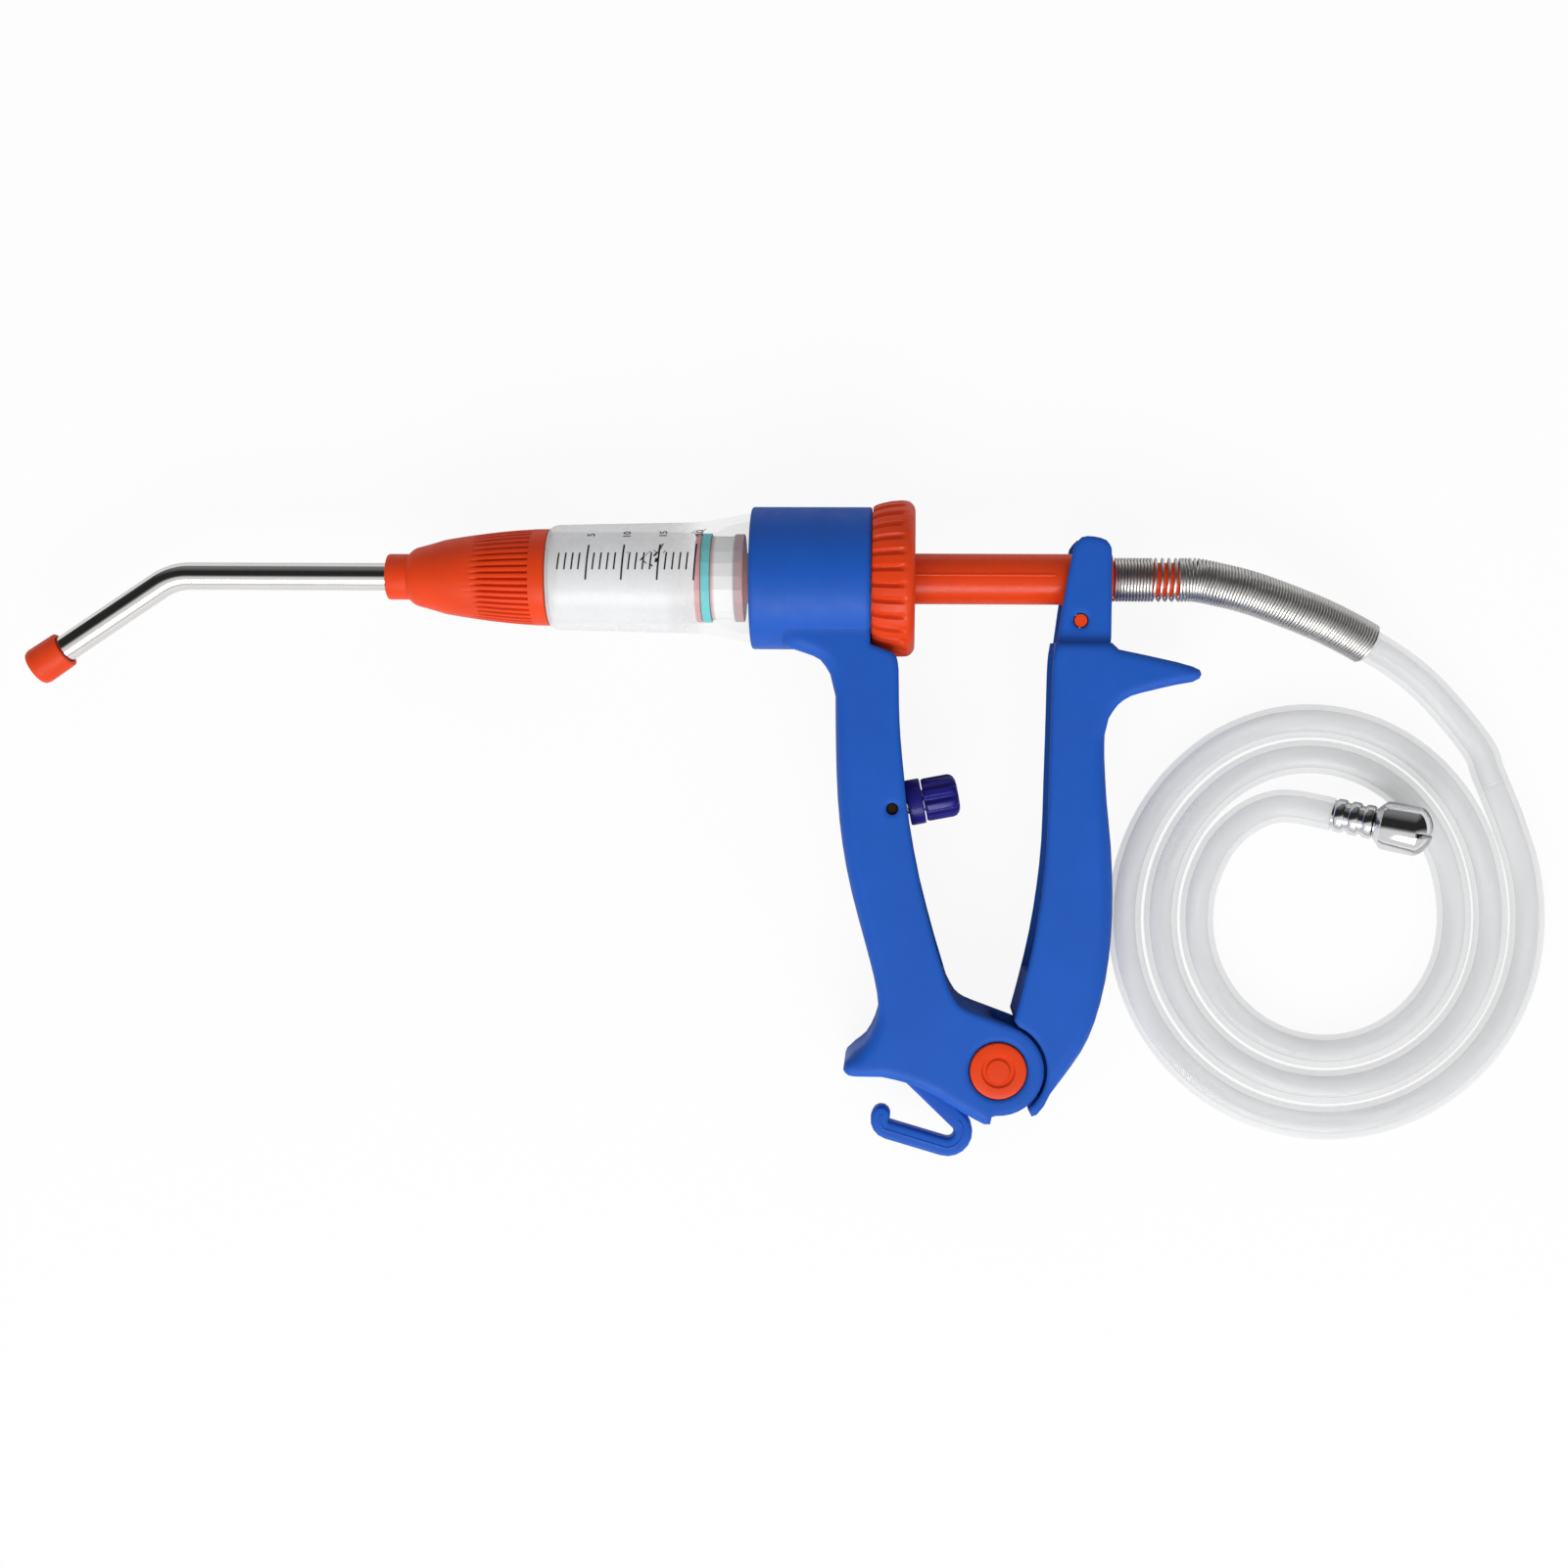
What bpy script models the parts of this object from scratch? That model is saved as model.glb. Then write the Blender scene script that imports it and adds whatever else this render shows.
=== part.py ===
"""Automatic drench gun: a pistol-grip dosing syringe with a bent nozzle and its feed hose.

The gun is worked out in its own frame: X runs along the barrel towards the hose, Y from the
lower pivot up to the barrel, Z across the handles, and the zero is on the barrel's axis, over the
pivot. It lies on its side, rolled about the barrel until it rests on the retaining nut and on the
handle's lower end. The hose is laid on the table beside it.
"""
import math

import bmesh
import bpy
from mathutils import Quaternion, Vector

MM = 0.001

# Clearances
GAP = 0.3
FACE_GAP = 0.3

# Dose: barrel bore and piston stroke, 20 ml at full stroke
BORE_R = 12.6
STROKE = 40.0
PISTON_FRONT_X = -84.3

# Barrel
BARREL_FRONT_R = BORE_R + 2.0
BARREL_BODY_R = BORE_R + 2.8
BARREL_FLARE_R = 17.9
BARREL_FLANGE_R = 18.35
BARREL_FLARE_WALL = 2.1
BARREL_FLANGE_L = 4.0
BARREL_NECK_R = 9.6
BARREL_NECK_BORE_R = 7.0
BARREL_NECK_L = 18.9
BARREL_END_WALL = 2.6
OUTLET_R = 2.6

# Sleeve of the front handle
SLEEVE_R = 19.7
SLEEVE_FRONT_X = -69.0
SLEEVE_REAR_X = -35.8

# Retaining nut
NUT_R = 21.6
NUT_L = 11.6
NUT_RIBS = 30
NUT_RIB_DEPTH = 0.9
NUT_SPIGOT_L = 4.2
NUT_SPIGOT_BORE_R = 15.0
NUT_RECESS = 4.0
NUT_RECESS_R = 17.6
NUT_REAR_WALL = 2.8
GASKET_L = 1.4

# Piston rod, its yoke and tail
ROD_R = 7.0
ROD_BORE_R = 3.2
ROD_END_X = 30.3
TAIL_R = 4.7
TAIL_END_X = 48.5
BUSH_WALL = 1.4
YOKE_FRONT = 6.2
YOKE_REAR = 4.4
YOKE_DROP = 4.0
YOKE_HALF = 6.9

# Lever linkage
PIVOT_DROP = 134.7
PIN_X = 21.2
PIN_DROP = 11.5
DRIVE_PIN_R = 1.75
LEVER_TRAVEL_DEG = 18.4
PIVOT_PIN_R = 2.5

# Handles
HANDLE_HALF = 13.5
HANDLE_WALL = 2.8
HANDLE_ROUND = 4.0
EAR_HALF = 10.6
EAR_WALL = 2.8
CHEEK_R = 12.5
CHEEK_SLOT_HALF = 8.5
LEVER_LIP_R = 13.4
HUB_R = 9.2
PIVOT_CAP_R = 7.75
PIVOT_CAP_PROUD = 0.8
PIVOT_CAP_BEVEL = 0.5
PIVOT_CAP_L = 3.0

# Lever return spring
RETURN_WIRE_R = 0.5
RETURN_COIL_R = 5.4
RETURN_TURNS = 3.5
RETURN_PITCH = 1.45
MOVING_LEG_DEG = 20.0
MOVING_LEG_R = 8.6
SPRING_LOW_Z = 2.6
FIXED_LEG_Z = 10.1
POCKET_R = 6.9
POCKET_Z = 1.5

# Nose cap and nozzle
NOSE_FRONT_X = -171.3
NOSE_COLLAR_R = 6.4
NOSE_REAR_R = 13.45
NOZZLE_R = 3.85
NOZZLE_BORE_R = 2.9
NOZZLE_KNEE_X = -232.6
NOZZLE_BEND_R = 16.5
NOZZLE_BEND_DEG = 33.5
NOZZLE_LEG = 46.3
TIP_R = 5.45
TIP_L = 10.4
TIP_WALL = 1.5
TIP_HOLE_R = 1.75
FERRULE_R = 9.2
FERRULE_L = 3.2

# Dose stop
STOP_X = -29.6
STOP_Y = -63.1
STOP_TILT_DEG = 11.0
STOP_NUT_R = 4.0
STOP_PIVOT_R = 1.35
STOP_SCREW_R = 3.0
STOP_TRAVEL = 10.0
COLLAR_R = 6.35
COLLAR_FROM = 4.3
COLLAR_L = 4.3
KNOB_R = 6.0
KNOB_L = 9.7
KNOB_FLUTES = 9
KNOB_FLUTE_DEPTH = 0.9

# Hanging hook
HOOK_WIDTH = 5.2
HOOK_HALF = 3.0

# Strain relief spring
SPRING_WIRE_R = 0.35
SPRING_COIL_R = 5.7
SPRING_CURLS = 33
SPRING_END_X = 102.1
SPRING_POINTS = 8
HIDDEN_SPRING_POINTS = 6
STRETCHED_CURLS = 3
STRETCHED_FROM = 6
STRETCHED_RATIO = 1.5

# Hose
HOSE_R = 4.65
HOSE_REST = HOSE_R + 0.05
COIL_CENTRE = (92.4, -94.05)
COIL_RX = 56.2
COIL_RY = 57.4
COIL_STEP = 10.15
COIL_START_DEG = -30.0
COIL_END_DEG = 930.0
LOOP_POINTS = 24

# Suction fitting
RING_R = 4.75
RING_COUNT = 3
BARB_L = 12.0
STRAINER_R = 6.9
STRAINER_L = 15.5
FITTING_TILT_DEG = 18.5
FITTING_HEADING_DEG = -12.0

ROUND_STEPS = 32
MID_STEPS = 20
SMALL_STEPS = 16

BLUE = (0.010, 0.085, 0.455)
ORANGE = (0.78, 0.075, 0.012)
NAVY = (0.012, 0.012, 0.19)
TEAL = (0.06, 0.48, 0.48)
FROSTED = (0.78, 0.80, 0.80)
STEEL = (0.62, 0.62, 0.60)
CHROME = (0.80, 0.80, 0.80)
CLEAR = (0.82, 0.85, 0.85)
BRASS = (0.60, 0.35, 0.12)
RUBBER = (0.03, 0.03, 0.03)
WHITE = (0.75, 0.75, 0.72)


def clear_scene():
    for item in list(bpy.data.objects):
        bpy.data.objects.remove(item, do_unlink=True)


def new_collection(name):
    group = bpy.data.collections.new(name)
    bpy.context.scene.collection.children.link(group)
    return group


clear_scene()
PARTS = new_collection("drench_gun")
CUTTERS = new_collection("cutters")
GUIDES = new_collection("guides")


def empty(name, parent=None, place=(0, 0, 0), turn=None):
    item = bpy.data.objects.new(name, None)
    GUIDES.objects.link(item)
    item.parent = parent
    item.location = Vector(place) * MM
    if turn is not None:
        item.rotation_mode = "QUATERNION"
        item.rotation_quaternion = turn
    return item


def roll_angle():
    """The roll that rests the gun on its nut and on the handle's lower end."""
    low_edge = HANDLE_HALF + PIVOT_CAP_PROUD
    reach = PIVOT_DROP + PIVOT_CAP_R - PIVOT_CAP_BEVEL
    return math.asin(NUT_R / math.hypot(reach, low_edge)) - math.atan2(low_edge, reach)


ROLL = roll_angle()
TABLE = empty("table_frame")
GUN = empty("gun_frame", TABLE, (0, 0, NUT_R), Quaternion((1, 0, 0), ROLL))
LEVER = empty("lever_axis", GUN, (0, -PIVOT_DROP, 0))
PISTON = empty("piston_axis", GUN)
NOZZLE = empty("nozzle_axis", GUN)
STOP_TURN = Quaternion((0, 0, 1), math.radians(STOP_TILT_DEG))
STOP = empty("dose_stop_axis", GUN, (STOP_X, STOP_Y, 0), STOP_TURN)


def finish(name, colour, roughness, metallic=0.0):
    look = bpy.data.materials.new(name)
    look.use_nodes = True
    shader = look.node_tree.nodes["Principled BSDF"]
    shader.inputs["Base Color"].default_value = (*colour, 1.0)
    shader.inputs["Roughness"].default_value = roughness
    shader.inputs["Metallic"].default_value = metallic
    look.diffuse_color = (*colour, 1.0)
    return look


def place(item, parent, at=(0, 0, 0), turn=None):
    item.parent = parent
    item.location = Vector(at) * MM
    if turn is not None:
        item.rotation_mode = "QUATERNION"
        item.rotation_quaternion = turn
    return item


def link(name, data, look, parent, at=(0, 0, 0), turn=None):
    """A part when it has a finish, otherwise a cutter."""
    item = bpy.data.objects.new(name, data)
    if look is None:
        CUTTERS.objects.link(item)
        item.hide_render = True
        item.display_type = "WIRE"
    else:
        PARTS.objects.link(item)
        colour, roughness, metallic = look
        data.materials.append(finish(name, colour, roughness, metallic))
    return place(item, parent, at, turn)


PLASTIC_BLUE = (BLUE, 0.55, 0.0)
PLASTIC_ORANGE = (ORANGE, 0.40, 0.0)
PLASTIC_NAVY = (NAVY, 0.35, 0.0)
PLASTIC_FROSTED = (FROSTED, 0.45, 0.0)
PLASTIC_WHITE = (WHITE, 0.45, 0.0)
SEAL_TEAL = (TEAL, 0.50, 0.0)
SEAL_BLACK = (RUBBER, 0.70, 0.0)
METAL_STEEL = (STEEL, 0.30, 1.0)
METAL_CHROME = (CHROME, 0.08, 1.0)
METAL_BRASS = (BRASS, 0.35, 1.0)
HOSE_CLEAR = (CLEAR, 0.15, 0.0)

ALONG_X = Quaternion((0, 1, 0), math.pi / 2)


def towards(direction):
    return Vector((0, 0, 1)).rotation_difference(Vector(direction))


def turned(name, profile, look, parent, at=(0, 0, 0), turn=ALONG_X, steps=ROUND_STEPS):
    """A turned piece from (along, radius) pairs, from its high end down and back up its bore."""
    points = [(radius * MM, 0, along * MM) for along, radius in profile]
    edges = [(i, i + 1) for i in range(len(points) - 1)]
    if profile[0][1] > 0:
        edges.append((len(points) - 1, 0))
    mesh = bpy.data.meshes.new(name)
    mesh.from_pydata(points, edges, [])
    item = link(name, mesh, look, parent, at, turn)
    screw = item.modifiers.new("turn", "SCREW")
    screw.steps = steps
    screw.render_steps = steps
    screw.use_merge_vertices = True
    screw.merge_threshold = 0.00001
    screw.use_smooth_shade = True
    return item


def cut(item, cutter):
    boolean = item.modifiers.new("cut", "BOOLEAN")
    boolean.operation = "DIFFERENCE"
    boolean.object = cutter
    return item


def join(item, other):
    boolean = item.modifiers.new("join", "BOOLEAN")
    boolean.operation = "UNION"
    boolean.object = other
    return item


def rod(name, low, high, radius, parent, at=(0, 0, 0), turn=ALONG_X, look=None, steps=MID_STEPS):
    profile = [(high, 0), (high, radius), (low, radius), (low, 0)]
    return turned(name, profile, look, parent, at, turn, steps)


def tube(name, low, high, outer, inner, look, parent, at=(0, 0, 0), turn=ALONG_X,
         steps=MID_STEPS):
    profile = [(high, inner), (high, outer), (low, outer), (low, inner)]
    return turned(name, profile, look, parent, at, turn, steps)


def as_mesh(item):
    """Turns a curve into a mesh object with welded caps."""
    bpy.context.view_layer.update()
    graph = bpy.context.evaluated_depsgraph_get()
    mesh = bpy.data.meshes.new_from_object(item.evaluated_get(graph))
    shell = bmesh.new()
    shell.from_mesh(mesh)
    bmesh.ops.remove_doubles(shell, verts=shell.verts, dist=0.000001)
    bmesh.ops.recalc_face_normals(shell, faces=shell.faces)
    shell.to_mesh(mesh)
    shell.free()
    name = item.name
    parent = item.parent
    basis = item.matrix_basis.copy()
    group = item.users_collection[0]
    curve = item.data
    bpy.data.objects.remove(item, do_unlink=True)
    bpy.data.curves.remove(curve)
    solid = bpy.data.objects.new(name, mesh)
    group.objects.link(solid)
    solid.parent = parent
    solid.matrix_basis = basis
    if group is CUTTERS:
        solid.hide_render = True
        solid.display_type = "WIRE"
    return solid


def plate(name, outline, low, high, parent, at=(0, 0, 0), turn=None):
    """A flat cutter or blank with the given outline, from low to high across."""
    curve = bpy.data.curves.new(name, "CURVE")
    curve.dimensions = "2D"
    curve.fill_mode = "BOTH"
    curve.extrude = (high - low) / 2 * MM
    line = curve.splines.new("POLY")
    line.points.add(len(outline) - 1)
    line.use_cyclic_u = True
    for point, (x, y) in zip(line.points, outline):
        point.co = (x * MM, y * MM, 0, 1)
    middle = Vector(at) + Vector((0, 0, (low + high) / 2))
    item = link(name, curve, None, parent, middle, turn)
    return as_mesh(item)


def wire(name, path, radius, sides, look, parent, at=(0, 0, 0)):
    """A round wire or tube through the points of path."""
    curve = bpy.data.curves.new(name, "CURVE")
    curve.dimensions = "3D"
    curve.bevel_depth = radius * MM
    curve.bevel_resolution = sides
    curve.use_fill_caps = True
    line = curve.splines.new("POLY")
    line.points.add(len(path) - 1)
    for point, spot in zip(line.points, path):
        point.co = (*(Vector(spot) * MM), 1)
    return link(name, curve, look, parent, at)


def inward(outline, i):
    """The inward normal at a point of an anticlockwise outline."""
    before = Vector(outline[i - 1][:2])
    here = Vector(outline[i][:2])
    after = Vector(outline[(i + 1) % len(outline)][:2])
    first = (here - before).normalized()
    second = (after - here).normalized()
    along = first + second
    if along.length < 0.001:
        along = second
    along.normalize()
    return Vector((-along.y, along.x))


def moulded(name, outline, half, rounding, look, parent, rings=2):
    """A moulding across Z with the outline (x, y, share); each edge is rounded by its share."""
    layers = []
    for ring in range(rings + 1):
        angle = math.pi / 2 * ring / rings
        layer = []
        for i, (x, y, share) in enumerate(outline):
            radius = rounding * share
            spot = Vector((x, y)) + inward(outline, i) * radius * (1 - math.cos(angle))
            layer.append((spot.x, spot.y, half - radius * (1 - math.sin(angle))))
        layers.append(layer)
    stack = [[(x, y, -z) for x, y, z in layer] for layer in reversed(layers)] + layers
    shell = bmesh.new()
    grid = [[shell.verts.new(Vector(spot) * MM) for spot in layer] for layer in stack]
    count = len(outline)
    for lower, upper in zip(grid, grid[1:]):
        for i in range(count):
            j = (i + 1) % count
            shell.faces.new((lower[i], lower[j], upper[j], upper[i]))
    shell.faces.new(list(reversed(grid[0])))
    shell.faces.new(grid[-1])
    mesh = bpy.data.meshes.new(name)
    shell.to_mesh(mesh)
    shell.free()
    mesh.shade_smooth()
    mesh.set_sharp_from_angle(angle=math.radians(35))
    return link(name, mesh, look, parent)


def fluted(name, profile, count, depth, look, parent, at=(0, 0, 0), turn=ALONG_X):
    """A turned solid whose (along, radius, share) rings carry grip flutes, capped at both ends."""
    pattern = ((0.0, 0.0), (0.5, 0.0), (0.75, 1.0))
    shell = bmesh.new()
    grid = []
    for along, radius, share in profile:
        layer = []
        for rib in range(count):
            for part_of, dip in pattern:
                angle = 2 * math.pi * (rib + part_of) / count
                r = radius - depth * share * dip
                spot = Vector((r * math.cos(angle), r * math.sin(angle), along))
                layer.append(shell.verts.new(spot * MM))
        grid.append(layer)
    total = len(grid[0])
    for lower, upper in zip(grid, grid[1:]):
        for i in range(total):
            j = (i + 1) % total
            shell.faces.new((lower[i], lower[j], upper[j], upper[i]))
    shell.faces.new(list(reversed(grid[0])))
    shell.faces.new(grid[-1])
    mesh = bpy.data.meshes.new(name)
    shell.to_mesh(mesh)
    shell.free()
    mesh.shade_smooth()
    mesh.set_sharp_from_angle(angle=math.radians(30))
    return link(name, mesh, look, parent, at, turn)


def smooth(points, per=4):
    """A Catmull-Rom line through the points, of any number of coordinates."""
    spots = [Vector(p) for p in points]
    line = []
    for i in range(len(spots) - 1):
        p1, p2 = spots[i], spots[i + 1]
        p0 = spots[i - 1] if i > 0 else p1 * 2 - p2
        p3 = spots[i + 2] if i + 2 < len(spots) else p2 * 2 - p1
        for k in range(per):
            t = k / per
            line.append(0.5 * (2 * p1 + (p2 - p0) * t + (2 * p0 - 5 * p1 + 4 * p2 - p3) * t * t
                               + (3 * p1 - p0 - 3 * p2 + p3) * t ** 3))
    line.append(spots[-1])
    return line


def arc(centre, radius, start_deg, end_deg, count):
    """Points on an arc, ends included."""
    step = (end_deg - start_deg) / (count - 1)
    angles = [math.radians(start_deg + step * k) for k in range(count)]
    return [(centre[0] + radius * math.cos(a), centre[1] + radius * math.sin(a)) for a in angles]


def lengths(path):
    total = [0.0]
    for a, b in zip(path, path[1:]):
        total.append(total[-1] + (b - a).length)
    return total


def at_length(path, total, distance):
    """The point and the heading of path at a distance along it."""
    for i in range(len(path) - 1):
        if distance <= total[i + 1] or i == len(path) - 2:
            step = path[i + 1] - path[i]
            share = (distance - total[i]) / (total[i + 1] - total[i])
            return path[i] + step * share, step.normalized()


# Handle outlines. Points near the barrel are from its axis, points near the pivot from the
# pivot, and the grips between them stretch with the drop from one to the other.
GRIP_TOP_Y = -30.0
GRIP_LOW_Y = -PIVOT_DROP + 20.0


def grip(x, part_of):
    return x, GRIP_TOP_Y + (GRIP_LOW_Y - GRIP_TOP_Y) * part_of


def low(x, up):
    return x, up - PIVOT_DROP


def rounded(points, share):
    """Outline points with their share of the edge rounding."""
    return [(p[0], p[1], share) for p in points]


SHARP = 0.08

# Places along the barrel that follow from the sizes above
NUT_FRONT_X = SLEEVE_REAR_X + FACE_GAP
NUT_REAR_X = NUT_FRONT_X + NUT_L
SPIGOT_END_X = NUT_FRONT_X - NUT_SPIGOT_L
GASKET_REAR_X = SPIGOT_END_X - FACE_GAP
BARREL_REAR_X = GASKET_REAR_X - GASKET_L - FACE_GAP
BARREL_END_X = PISTON_FRONT_X - STROKE - FACE_GAP
SHOULDER_X = BARREL_END_X - 0.7
NECK_END_X = SHOULDER_X - BARREL_NECK_L
NOZZLE_GASKET_X = NECK_END_X - FACE_GAP
FERRULE_X = NOZZLE_GASKET_X - GASKET_L - FACE_GAP
NOSE_SEAT_X = FERRULE_X - FERRULE_L - FACE_GAP
ARM = math.hypot(PIN_X, PIVOT_DROP - PIN_DROP)
PIN_RISE = ARM - (PIVOT_DROP - PIN_DROP)
HUB_HALF = CHEEK_SLOT_HALF - GAP
BUSH_R = PIVOT_PIN_R + GAP + 1.1
CAP_TOP = HANDLE_HALF + PIVOT_CAP_PROUD
CAP_LOW = CAP_TOP - PIVOT_CAP_L
CAP_SOCKET = 1.4


def front_handle_outline():
    back = [(-36.0, -13.0), (-60.0, -13.0)]
    throat = smooth([(-59.5, -19.0), (-54.0, -20.7), (-49.6, -22.6), (-46.9, -26.5)], 2)
    grip_front = smooth([grip(-45.4, 0.03), grip(-45.2, 0.19), grip(-44.6, 0.36),
                         grip(-43.2, 0.51), grip(-40.7, 0.66), grip(-36.9, 0.825),
                         grip(-34.2, 0.945), low(-33.0, 17.0), low(-34.0, 11.6),
                         low(-36.5, 6.8), low(-39.6, 4.2)], 2)
    spur = smooth([low(-42.0, 1.6), low(-42.5, -0.6), low(-41.0, -2.2), low(-38.5, -2.5)], 2)
    underside = smooth([low(-31.8, -2.7), low(-24.4, -4.4), low(-17.0, -7.6),
                        low(-9.5, -12.3), low(-3.6, -15.4)], 2)
    heel = [low(-2.0, -14.9), low(-1.6, -12.9)]
    cheek = arc((0, -PIVOT_DROP), CHEEK_R, -92, 71, 18)
    saddle = smooth([low(-4.4, 14.9), low(-8.8, 16.6), low(-11.6, 18.7), grip(-14.0, 0.965)], 2)
    grip_rear = smooth([grip(-17.5, 0.83), grip(-21.7, 0.645), grip(-24.8, 0.455),
                        grip(-26.3, 0.31), grip(-27.5, 0.17), grip(-28.0, 0.06),
                        (-28.2, -25.0), (-28.8, -21.6)], 2)
    lug = [(-30.0, -20.4), (-36.0, -18.2)]
    return (rounded(back, 0.4) + rounded(throat, 0.8) + rounded(grip_front, 1.0)
            + rounded(spur, 0.5) + rounded(underside, 0.8) + rounded(heel, 0.2)
            + rounded(cheek, SHARP) + rounded(saddle, SHARP) + rounded(grip_rear, SHARP)
            + rounded(lug, SHARP))


def front_channel_outline():
    """The handle's hollow, open towards the lever and up to the retaining nut."""
    wall = HANDLE_WALL + 0.4
    front = smooth([grip(-45.3 + wall, 0.03), grip(-45.2 + wall, 0.19), grip(-44.6 + wall, 0.36),
                    grip(-43.2 + wall, 0.51), grip(-40.7 + wall, 0.66), grip(-36.9 + wall, 0.825),
                    grip(-31.5, 0.91)], 2)
    mouth = [grip(-28.0, 0.93), grip(-9.0, 0.93), grip(-14.0, 0.60), grip(-20.0, 0.0)]
    sleeve_low = -SLEEVE_R - 2.5
    face = SLEEVE_REAR_X - 0.15
    under_nut = [(-20.0, -15.0), (face, -15.0), (face, sleeve_low),
                 (-41.0, sleeve_low), (-42.2, -24.5)]
    return [tuple(p) for p in front] + mouth + under_nut


def lever_grip_outline():
    front = smooth([(13.9, -20.8), (13.6, -25.5), grip(13.4, 0.094), grip(13.0, 0.318),
                    grip(12.6, 0.51), grip(11.4, 0.664), grip(9.4, 0.818), grip(6.7, 0.962),
                    low(4.3, 13.8)], 2)
    lip_arc = arc((0, -PIVOT_DROP), LEVER_LIP_R, 66, -52, 15)
    lip = [low(9.3, -12.7), low(10.7, -12.2), low(12.7, -9.7), low(14.3, -6.4)]
    palm = smooth([low(17.2, -3.1), low(22.8, 5.1), low(26.4, 13.3), grip(29.2, 0.943),
                   grip(30.6, 0.799), grip(30.8, 0.664), grip(30.2, 0.51), grip(28.9, 0.365),
                   grip(28.1, 0.221), grip(28.1, 0.148)], 2)
    spur_low = smooth([(29.0, -38.0), (31.4, -34.4), (35.0, -31.9), (40.4, -30.4),
                       (46.1, -29.0), (51.5, -28.0)], 2)
    spur_tip = [(53.2, -27.0), (53.7, -25.8), (53.2, -24.7)]
    spur_top = [(51.4, -23.8), (47.1, -22.6), (39.3, -20.9), (31.5, -19.3)]
    crown = [(29.6, -17.5), (14.3, -17.5)]
    return (rounded(front, SHARP) + rounded(lip_arc, SHARP) + rounded(lip, 0.35)
            + rounded(palm, 1.0) + rounded(spur_low, 0.7) + rounded(spur_tip, 0.4)
            + rounded(spur_top, 0.6) + rounded(crown, 0.6))


def lever_head_outline():
    front = [(18.6, 5.6), (17.5, -0.1), (16.2, -8.6), (15.2, -16.4), (14.6, -22.0)]
    back = [(29.0, -22.0), (29.5, -16.0), (29.5, 3.6)]
    top = smooth([(29.3, 8.2), (27.9, 10.3), (24.5, 11.3), (21.2, 11.1), (19.2, 8.6)], 2)
    return rounded(front + back, 0.25) + rounded(top, 0.3)


def lever_channel_outline():
    """The lever's hollow, open towards the front handle."""
    wall = HANDLE_WALL
    back = smooth([grip(26.2 - 0.5, 0.93), grip(30.5 - wall, 0.799), grip(30.7 - wall, 0.664),
                   grip(30.1 - wall, 0.51), grip(28.8 - wall, 0.365), grip(28.0 - wall, 0.221),
                   grip(28.0 - wall, 0.03)], 2)
    top = [(29.5 - wall, -24.0), (29.5 - wall, -19.8), (6.0, -19.8)]
    mouth = [grip(5.0, 0.5), grip(-1.0, 0.93)]
    return [tuple(p) for p in back] + top + mouth


def hook_path():
    """The hook's centreline, from its root in the handle to its curled tip."""
    bend = low(-13.5, -19.3)
    tip = low(-29.5, -16.3)
    leg_end = (bend[0] + 4.4 * math.cos(math.radians(46)),
               bend[1] + 4.4 * math.sin(math.radians(46)))
    root = (leg_end[0] - 17.2, leg_end[1] + 16.4)
    return [root, leg_end] + arc(bend, 4.4, 40, -106, 9) + arc(tip, 2.9, 254, 150, 6)


def ribbon(path, width):
    """The outline of a strap of even width along the path, with round ends."""
    spots = [Vector(p) for p in path]
    left, right = [], []
    for i, spot in enumerate(spots):
        before = spots[max(i - 1, 0)]
        after = spots[min(i + 1, len(spots) - 1)]
        along = (after - before).normalized()
        side = Vector((-along.y, along.x)) * width / 2
        left.append(spot + side)
        right.append(spot - side)
    ends = []
    for spot, other in ((spots[-1], spots[-2]), (spots[0], spots[1])):
        along = (spot - other).normalized()
        heading = math.degrees(math.atan2(along.y, along.x))
        ends.append(arc(spot, width / 2, heading - 60, heading + 60, 5))
    return [tuple(p) for p in right] + ends[0] + [tuple(p) for p in reversed(left)] + ends[1]


def return_leg_place():
    """Where the return spring's fixed leg stands, from the pivot."""
    angle = math.radians(MOVING_LEG_DEG + 360 * RETURN_TURNS)
    return RETURN_COIL_R * math.cos(angle), RETURN_COIL_R * math.sin(angle)


UPRIGHT = Quaternion()
PIVOT = (0, -PIVOT_DROP, 0)


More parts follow.
